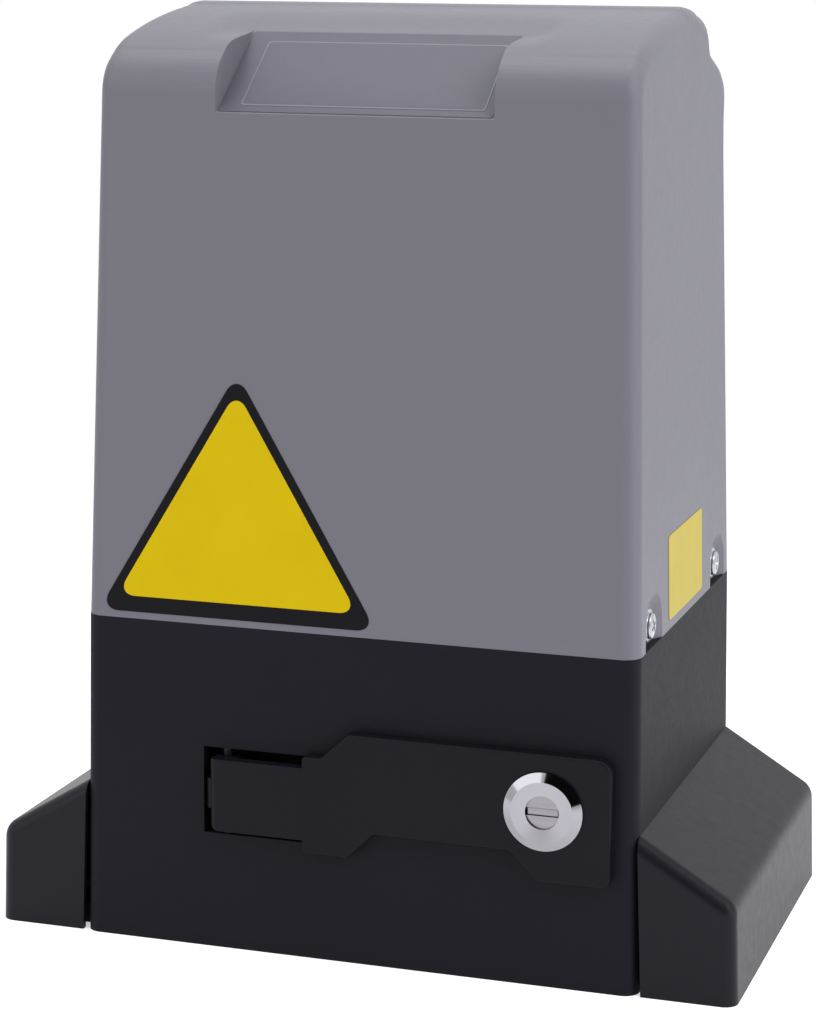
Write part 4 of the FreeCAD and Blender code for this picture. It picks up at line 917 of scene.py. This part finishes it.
@dataclass
class CoverShell(SubAssembly):
    """Top cover with its full crown: the CAD cover's mesh, cut finely and swelled about an axis.

    The crown lists directions from the vertical towards the back, in degrees, and the factor on
    the distance from the axis in each.
    """

    axis_z: float = 290.0 * MM
    cut_from: float = 288.0 * MM
    crown: tuple[tuple[float, float], ...] = (
        (-62.0, 1.0), (-58.0, 1.0), (-55.0, 1.0), (-51.5, 1.0), (-49.8, 1.001),
        (-48.0, 1.006), (-46.2, 1.019), (-44.1, 1.03), (-41.7, 1.038), (-38.4, 1.042),
        (-34.7, 1.044), (-29.9, 1.0437), (-24.3, 1.041), (-17.5, 1.034), (-8.3, 1.02),
        (5.0, 0.993), (10.0, 0.998), (15.0, 1.028), (17.5, 1.061), (20.0, 1.09),
        (22.9, 1.11), (27.0, 1.158), (28.4, 1.172), (29.6, 1.18), (31.5, 1.183),
        (33.4, 1.169), (35.0, 1.148), (36.4, 1.127), (38.0, 1.1), (38.9, 1.089),
        (40.5, 1.079), (43.7, 1.074), (47.9, 1.08), (51.0, 1.085), (53.3, 1.086),
        (55.2, 1.082), (56.8, 1.072), (58.9, 1.062), (60.6, 1.052), (62.1, 1.042),
        (64.9, 1.03), (68.0, 1.015), (72.0, 1.008), (80.0, 1.0),
    )
    extra_cuts: tuple[float, ...] = (-13.0, -21.0, -27.2, -32.3, -36.5, -3.5, 1.0, 7.5, 12.5, 25.0, 45.8)
    recess_x: tuple[float, float] = (-60.3 * MM, 55.0 * MM)
    recess_low: tuple[float, float] = RECESS_LOW
    recess_high: tuple[float, float] = RECESS_HIGH
    lip: float = 0.985
    floor_skin: float = 0.6 * MM
    rim_angle: float = -28.4
    dish_angle: float = 20.0
    dish_run: float = 14.0 * MM
    dish_cuts: tuple[float, ...] = (0.0, 0.15, 0.3, 0.45, 0.6, 0.75, 0.9, 1.0)
    sharp: float = 26.0

    def swell(self, angle: float) -> float:
        """Returns the crown's factor on the distance from the axis in a direction.

        Args:
            angle: Direction from the vertical towards the back, in degrees.

        Returns:
            The factor, 1 where the cover stays as it is.
        """
        if angle <= self.crown[0][0] or angle >= self.crown[-1][0]:
            return 1.0
        for (start, low), (end, high) in zip(self.crown, self.crown[1:]):
            if start <= angle <= end:
                return low + (high - low) * (angle - start) / (end - start)
        return 1.0

    def dish(self, x: float, angle: float) -> float:
        """Returns how much of the crown is left out round the recess's upper edge.

        Args:
            x: Place across the cover in metres.
            angle: Direction from the vertical towards the back, in degrees.

        Returns:
            Share from 0 to 1.
        """
        room = min(x - self.recess_x[0], self.recess_x[1] - x) / self.dish_run + 1.0
        across = min(1.0, max(0.0, room))
        along = min(1.0, abs(angle - self.rim_angle) / self.dish_angle)
        return across * across * (3 - 2 * across) * (1 - along * along * (3 - 2 * along))

    def in_recess(self, spot: Vector) -> bool:
        """Says whether a point belongs to the recess's floor or lies under it.

        Args:
            spot: Point of the cover's mesh.

        Returns:
            True where the crown leaves the point alone.
        """
        low = Vector(self.recess_low)
        run = Vector(self.recess_high) - low
        away = Vector((spot.y, spot.z)) - low
        share = away.dot(run) / run.length_squared
        above = (away.y * run.x - away.x * run.y) / run.length
        inside = self.recess_x[0] < spot.x < self.recess_x[1]
        return inside and -0.2 < share < self.lip + 0.005 and above < self.floor_skin

    def on_recess_wall(self, face: bpy.types.MeshPolygon) -> bool:
        """Says whether a face is on one of the upright ends that the recess shows.

        Args:
            face: Face of the cover's mesh.

        Returns:
            True on the two ends.
        """
        inside = self.recess_x[0] - 1 * MM < face.center.x < self.recess_x[1] + 1 * MM
        towards = -face.normal.x if face.center.x > 0 else face.normal.x
        return inside and face.center.z > self.recess_low[1] and towards > 0.99

    def cut(self, spot: Sequence[float], normal: Sequence[float]) -> None:
        """Cuts all that is shown in edit mode along a plane."""
        bpy.ops.mesh.select_all(action="SELECT")
        bpy.ops.mesh.bisect(plane_co=spot, plane_no=normal)

    def build(self) -> None:
        """Copies the CAD cover, cuts it into strips and swells its crown."""
        shell = copy_of(frame["nodes"]["top_cover"], "cover_shell")
        right_way_out(shell)
        keep_faces(shell, lambda face: False)
        self.cut((0, 0, self.cut_from), (0, 0, 1))
        leave_edit()
        keep_faces(shell, lambda face: face.center.z < self.cut_from)
        bpy.ops.mesh.hide(unselected=False)
        for angle in sorted([angle for angle, _ in self.crown] + list(self.extra_cuts)):
            lean = math.radians(angle)
            self.cut((0, 0, self.axis_z), (0, math.cos(lean), -math.sin(lean)))
        for share in self.dish_cuts:
            for side, edge in zip(Side, self.recess_x):
                self.cut((edge + side.value * share * self.dish_run, 0, 0), (1, 0, 0))
        bpy.ops.mesh.reveal(select=False)
        leave_edit()
        keep_faces(shell, self.on_recess_wall)
        bpy.ops.mesh.dissolve_faces()
        leave_edit()
        for vertex in shell.data.vertices:
            spot = vertex.co
            if spot.z < self.axis_z or self.in_recess(spot):
                continue
            angle = math.degrees(math.atan2(spot.y, spot.z - self.axis_z))
            gain = 1.0 + (self.swell(angle) - 1.0) * (1.0 - self.dish(spot.x, angle))
            vertex.co = Vector((spot.x, spot.y * gain, self.axis_z + (spot.z - self.axis_z) * gain))
        shell.data.update()
        smooth(shell, self.sharp)
        keep_edges(shell, lambda a, b: False)
        bpy.ops.mesh.edges_select_sharp(sharpness=math.radians(self.sharp))
        bpy.ops.mesh.mark_sharp()
        leave_edit()
        weigh = shell.modifiers.new("weigh", "WEIGHTED_NORMAL")
        weigh.keep_sharp = True
        apply_modifiers(shell)
        self.fit(shell, "cover_plastic", "housing")
        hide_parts("top_cover")


@dataclass
class CoverScrews(SubAssembly):
    """Four flanged pan-head screws with a cross recess, standing in their pockets."""

    head: float = 6.5 * MM
    rise: float = 2.8 * MM
    shank: float = 3.0 * MM
    reach: float = 9.3 * MM
    dome: float = 4.9 * MM
    flange_thick: float = 0.9 * MM
    cross_arm: tuple[float, float, float] = (6.4 * MM, 1.3 * MM, 2.4 * MM)
    cross_taper: tuple[float, float] = (0.4, 0.6)
    cross_proud: float = 0.3 * MM
    recess_turns: tuple[float, ...] = (12.0, -33.0, 27.0, -18.0)

    def pattern(self) -> bpy.types.Object:
        """Makes one screw facing +Z with its flange's seat on the XY plane.

        Returns:
            The screw.
        """
        flange = self.flange_thick
        profile = (
            (self.shank * 0.8, -self.reach),
            (self.shank, -self.reach + 0.6 * MM),
            (self.shank, 0),
            (self.head - 0.2 * MM, 0),
            (self.head, 0.2 * MM),
            (self.head, flange - 0.25 * MM),
            (self.head - 0.25 * MM, flange),
            (self.dome + 0.15 * MM, flange + 0.05 * MM),
            (self.dome, flange + 0.25 * MM),
            (self.dome, self.rise - 0.9 * MM),
            (self.dome * 0.94, self.rise - 0.45 * MM),
            (self.dome * 0.8, self.rise - 0.17 * MM),
            (self.dome * 0.55, self.rise - 0.04 * MM),
            (self.dome * 0.25, self.rise),
        )
        screw = stepped("cover_screw", 48, profile)
        combine(screw, self.cross_tool(), Joining.CUT)
        return screw

    def cross_tool(self) -> bpy.types.Object:
        """Makes the tapered cross that sinks the recess.

        Returns:
            The tool, standing where a screw's head is.
        """
        arms = []
        length, width, deep = self.cross_arm
        for turn in (0, 90):
            arm = slab("cross_arm", length, width, deep)
            keep_faces(arm, lambda face: face.normal.z < -0.9)
            bpy.ops.transform.resize(value=(*self.cross_taper, 1.0))
            leave_edit()
            settle(arm, (0, 0, turn), (0, 0, self.rise + self.cross_proud - deep))
            arms.append(arm)
        combine(arms[0], arms[1], Joining.WELD)
        return arms[0]

    def build(self) -> None:
        """Places a copy of the screw in each pocket."""
        low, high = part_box("cover_screws")
        pattern = self.pattern()
        places = [(side, end) for side in Side for end in End]
        middle_z = (low.z + high.z) / 2
        for (side, end), recess_turn in zip(places, self.recess_turns):
            screw = copy_of(pattern, f"cover_screw_{side.name.lower()}_{end.name.lower()}")
            settle(screw, (0, 0, recess_turn), (0, 0, 0))
            spot = ((high.x - self.rise) * side.value, (high.y - self.head) * end.value, middle_z)
            settle(screw, (0, 90 * side.value, 0), spot)
            smooth(screw)
            self.fit(screw, "zinc_steel", "housing")
            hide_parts("cover_screws")
        bpy.data.objects.remove(pattern)


@dataclass
class KeyShutter(SubAssembly):
    """Sprung shutter that closes the key slot of the lock's plug."""

    thick: float = 0.8 * MM
    set_back: float = 0.45 * MM
    slot: tuple[float, float] = (11.6 * MM, 2.9 * MM)
    edge_round: float = 0.3 * MM

    def build(self) -> None:
        """Fits the shutter into the plug's slot."""
        low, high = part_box("lock_plug")
        width, height = self.slot
        plate = slab("key_shutter", width, height, self.thick)
        keep_edges(plate, lambda a, b: abs((a - b).normalized().x) > 0.9 and a.z > 0 and b.z > 0)
        bpy.ops.mesh.bevel(offset=self.edge_round, segments=3, affect="EDGES")
        leave_edit()
        spot = ((low.x + high.x) / 2, low.y + self.set_back + self.thick, (low.z + high.z) / 2)
        settle(plate, (90, 0, 0), spot)
        smooth(plate)
        self.fit(plate, "satin_chrome", "lock", "chrome")


@dataclass
class LimitWhisker(SubAssembly):
    """Close-wound spring on the limit switch's stem, with its end cap."""

    wire: float = 0.85 * MM
    wire_sides: int = 10
    turns: int = 24
    ring_steps: int = 26
    cap_length: float = 7.0 * MM
    cap_share: float = 0.98
    cap_steps: tuple[tuple[float, float], ...] = ((0.6 * MM, 0.5 * MM), (1.0 * MM, 0.3 * MM))
    cap_rise: float = 0.8 * MM
    core_gap: float = 2.2

    def wind(self, radius: float, length: float) -> bpy.types.Object:
        """Winds the wire about Z and closes its two ends.

        Args:
            radius: Outer radius of the coil in metres.
            length: Length that its turns fill in metres.

        Returns:
            The coil, with its faces outwards.
        """
        clear_selection()
        bpy.ops.mesh.primitive_circle_add(
            vertices=self.wire_sides,
            radius=self.wire,
            location=(radius - self.wire, 0, 0),
            rotation=(math.pi / 2, 0, 0),
        )
        coil = newest("limit_spring_coil")
        bake_place()
        twist = coil.modifiers.new("wind", "SCREW")
        twist.axis = "Z"
        twist.angle = 2 * math.pi
        twist.screw_offset = length / self.turns
        twist.iterations = self.turns - 1
        twist.steps = self.ring_steps
        twist.render_steps = self.ring_steps
        twist.use_merge_vertices = True
        apply_modifiers(coil)
        keep_edges(coil, lambda a, b: False)
        bpy.ops.mesh.select_mode(type="VERT")
        bpy.ops.mesh.select_non_manifold()
        bpy.ops.mesh.edge_face_add()
        leave_edit()
        right_way_out(coil)
        return coil

    def build(self) -> None:
        """Lays the coil, its end cap and its core along the CAD whisker."""
        low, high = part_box("limit_spring")
        middle = (low + high) / 2
        radius = (high.x - low.x) / 2
        length = high.y - low.y - self.cap_length
        coil = self.wind(radius, length)
        settle(coil, (-90, 0, 0), (middle.x, low.y + self.wire, middle.z))
        smooth(coil, 50)
        self.fit(coil, "spring_steel", "limit")
        cap = drum("limit_spring_cap", radius * self.cap_share, self.cap_length, 32)
        inset_and_push(cap, self.cap_steps, self.cap_length)
        soften(cap, 0.25 * MM, 2, 30)
        settle(cap, (-90, 0, 0), (middle.x, high.y - self.cap_length - self.cap_rise, middle.z))
        smooth(cap)
        self.fit(cap, "black_plastic", "limit")
        core = drum("limit_spring_core", radius - self.core_gap * self.wire, length, 24)
        soften(core, 0.2 * MM, 2, 30)
        settle(core, (-90, 0, 0), (middle.x, low.y, middle.z))
        smooth(core)
        self.fit(core, "spring_steel", "limit")
        for piece in (coil, cap, core):
            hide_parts("limit_spring")


@dataclass
class ClutchSpring(SubAssembly):
    """Clutch spring, which shortens as the release lever lifts the disc off the wheel."""

    travel: float = 4.6 * MM

    def build(self) -> None:
        """Copies the CAD spring, shades it smooth and hides the CAD node."""
        spring = copy_of(frame["nodes"]["clutch_spring"], "clutch_spring_coil")
        right_way_out(spring)
        smooth(spring)
        self.fit(spring, "spring_steel", "output")
        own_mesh(spring)
        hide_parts("clutch_spring")


@dataclass
class CadFinishes(SubAssembly):
    """Finishes of the CAD nodes that show as they are."""

    special: dict[str, str] = field(
        default_factory=lambda: {"lock_plug": "satin_chrome", "lever_hinge_pin": "black_oxide"}
    )

    def build(self) -> None:
        """Gives each node the finish of its record slot."""
        slots = {entry["node"]: entry["material_slot"] for entry in frame["record"]["subparts"]}
        slots.update(self.special)
        for node, piece in frame["nodes"].items():
            finish = slots[node]
            for index in range(len(piece.material_slots)):
                piece.material_slots[index].material = self.paints.get(finish)
            if not piece.material_slots:
                piece.data.materials.append(self.paints.get(finish))
            LOG.info("%s wears %s", node, finish)


# ------------------------------------------------------------------ studio


@dataclass
class Studio:
    """Pale floor, soft lights and camera, in metres, watts and, for the lens, millimetres."""

    focal: float = 99.36
    sensor: float = 36.0
    far_clip: float = 20.0
    camera_spot: tuple[float, float, float] = (0.34336, -1.06192, 0.39664)
    aim: tuple[float, float, float] = (-0.00506, 0.0, 0.161961)
    roll: float = 0.22
    bright_from: float = 0.45
    bright_to: float = 1.1
    card_spot: tuple[float, float, float] = (0.78, -1.26, 1.0)
    card_size: float = 2.2
    floor_size: float = 8.0
    floor_glow: float = 0.5
    world_level: float = 0.42
    lamps: list[tuple[str, tuple[float, float, float], float, float]] = field(
        default_factory=lambda: [
            ("key", (1.7, -0.7, 1.6), 1.4, 24.0),
            ("top", (-0.1, 0.2, 2.2), 1.8, 24.0),
            ("fill", (-1.6, -1.7, 1.2), 1.8, 12.0),
            ("low", (1.6, -0.25, 0.1), 0.8, 5.0),
        ]
    )

    def floor(self) -> None:
        """Adds the floor, white to the eye and still catching the object's shadow."""
        clear_selection()
        bpy.ops.mesh.primitive_plane_add(size=self.floor_size)
        ground = bpy.context.object
        ground.name = "studio_floor"
        sheet = ShaderSheet("studio_floor")
        soft = sheet.noise(2.0)
        sheet.colour(sheet.ramp(soft, rgb(236, 236, 238), rgb(240, 240, 242)))
        sheet.shader.inputs["Roughness"].default_value = 0.9
        sheet.shader.inputs["Specular IOR Level"].default_value = 0.1
        glow = sheet.nodes.new("ShaderNodeEmission")
        glow.inputs["Color"].default_value = (1.0, 1.0, 1.0, 1.0)
        gain = chain(sheet.tree, "ShaderNodeMath", self.seen_directly(sheet.tree))
        gain.operation = "MULTIPLY"
        gain.inputs[1].default_value = self.floor_glow
        sheet.links.new(gain.outputs[0], glow.inputs["Strength"])
        both = chain(sheet.tree, "ShaderNodeAddShader", sheet.shader.outputs[0], glow.outputs[0])
        white = sheet.nodes.new("ShaderNodeEmission")
        blends = (self.far_away(sheet), both.outputs[0], white.outputs[0])
        fade = chain(sheet.tree, "ShaderNodeMixShader", *blends)
        sheet.links.new(fade.outputs[0], sheet.nodes["Material Output"].inputs["Surface"])
        ground.data.materials.append(sheet.material)

    def far_away(self, sheet: ShaderSheet) -> bpy.types.NodeSocket:
        """Adds a fade from 0 near the object to 1 far out, for the rays that see the floor.

        Args:
            sheet: Floor's material.

        Returns:
            The fade.
        """
        distance = chain(sheet.tree, "ShaderNodeVectorMath", sheet.place)
        distance.operation = "LENGTH"
        span = sheet.nodes.new("ShaderNodeMapRange")
        span.inputs["From Min"].default_value = self.bright_from
        span.inputs["From Max"].default_value = self.bright_to
        sheet.links.new(distance.outputs["Value"], span.inputs["Value"])
        seen = self.seen_directly(sheet.tree)
        both = chain(sheet.tree, "ShaderNodeMath", span.outputs["Result"], seen)
        both.operation = "MULTIPLY"
        return both.outputs[0]

    def dark_card(self) -> None:
        """Adds the dark card beside the camera that gives bright metal its dark reflection."""
        clear_selection()
        bpy.ops.mesh.primitive_plane_add(size=self.card_size)
        card = bpy.context.object
        card.name = "dark_card"
        toward = (Vector(self.aim) - Vector(self.card_spot)).to_track_quat("Z", "Y").to_euler()
        settle(card, [math.degrees(angle) for angle in toward], self.card_spot)
        sheet = ShaderSheet("dark_card")
        sheet.colour(sheet.ramp(sheet.noise(3.0), rgb(12, 12, 13), rgb(18, 18, 19)))
        sheet.shader.inputs["Roughness"].default_value = 1.0
        sheet.shader.inputs["Specular IOR Level"].default_value = 0.0
        card.data.materials.append(sheet.material)
        for ray in ("camera", "diffuse", "shadow", "transmission", "volume_scatter"):
            setattr(card, f"visible_{ray}", False)

    @staticmethod
    def seen_directly(tree: bpy.types.NodeTree) -> bpy.types.NodeSocket:
        """Adds nodes that are 1 for camera, glossy and transmission rays.

        Args:
            tree: Node tree of a material or of the world.

        Returns:
            Socket that is 1 or 0.
        """
        path = tree.nodes.new("ShaderNodeLightPath")
        value = path.outputs["Is Camera Ray"]
        for name in ("Is Glossy Ray", "Is Transmission Ray"):
            join = chain(tree, "ShaderNodeMath", value, path.outputs[name])
            join.operation = "MAXIMUM"
            value = join.outputs[0]
        return value

    def world(self) -> None:
        """Makes the world white where it is seen and softer where it lights."""
        world = bpy.data.worlds.new("studio")
        bpy.context.scene.world = world
        world.use_nodes = True
        ground = world.node_tree.nodes["Background"]
        ground.inputs["Color"].default_value = (1.0, 1.0, 1.0, 1.0)
        seen = self.seen_directly(world.node_tree)
        level = chain(world.node_tree, "ShaderNodeMapRange", seen)
        level.inputs["To Min"].default_value = self.world_level
        level.inputs["To Max"].default_value = 1.0
        world.node_tree.links.new(level.outputs["Result"], ground.inputs["Strength"])

    def lights(self) -> None:
        """Adds the soft area lamps, each aimed at the object's middle."""
        for name, spot, size, power in self.lamps:
            data = bpy.data.lights.new(name, "AREA")
            data.size = size
            data.energy = power
            lamp = bpy.data.objects.new(name, data)
            lamp.location = spot
            lamp.rotation_euler = (Vector(self.aim) - Vector(spot)).to_track_quat("-Z", "Y").to_euler()
            bpy.context.scene.collection.objects.link(lamp)

    def camera(self) -> None:
        """Adds the camera and looks at the object."""
        data = bpy.data.cameras.new("camera")
        data.lens = self.focal
        data.sensor_width = self.sensor
        data.clip_end = self.far_clip
        camera = bpy.data.objects.new("camera", data)
        spot = Vector(self.camera_spot)
        ahead = (Vector(self.aim) - spot).normalized()
        right = ahead.cross(Vector((0, 0, 1))).normalized()
        up = right.cross(ahead)
        roll = math.radians(self.roll)
        rolled_right = right * math.cos(roll) + up * math.sin(roll)
        rolled_up = up * math.cos(roll) - right * math.sin(roll)
        turn = Matrix((rolled_right, rolled_up, -ahead)).transposed().to_4x4()
        camera.matrix_world = Matrix.Translation(spot) @ turn
        bpy.context.scene.collection.objects.link(camera)
        bpy.context.scene.camera = camera

    def build(self) -> None:
        """Sets up the whole studio."""
        bpy.context.scene.view_settings.view_transform = "Standard"
        self.floor()
        self.dark_card()
        self.world()
        self.lights()
        self.camera()


def main() -> None:
    """Builds the sub-assemblies in order and reports them."""
    logging.basicConfig(level=logging.INFO, format="%(name)s: %(message)s")
    paints = Paintbox()
    assemblies: list[SubAssembly] = [
        CadFinishes(paints),
        CoverShell(paints),
        Signs(paints),
        CoverScrews(paints),
        KeyShutter(paints),
        LimitWhisker(paints),
        ClutchSpring(paints),
    ]
    for assembly in assemblies:
        assembly.build()
    Studio().build()


if __name__ == "__main__":
    main()
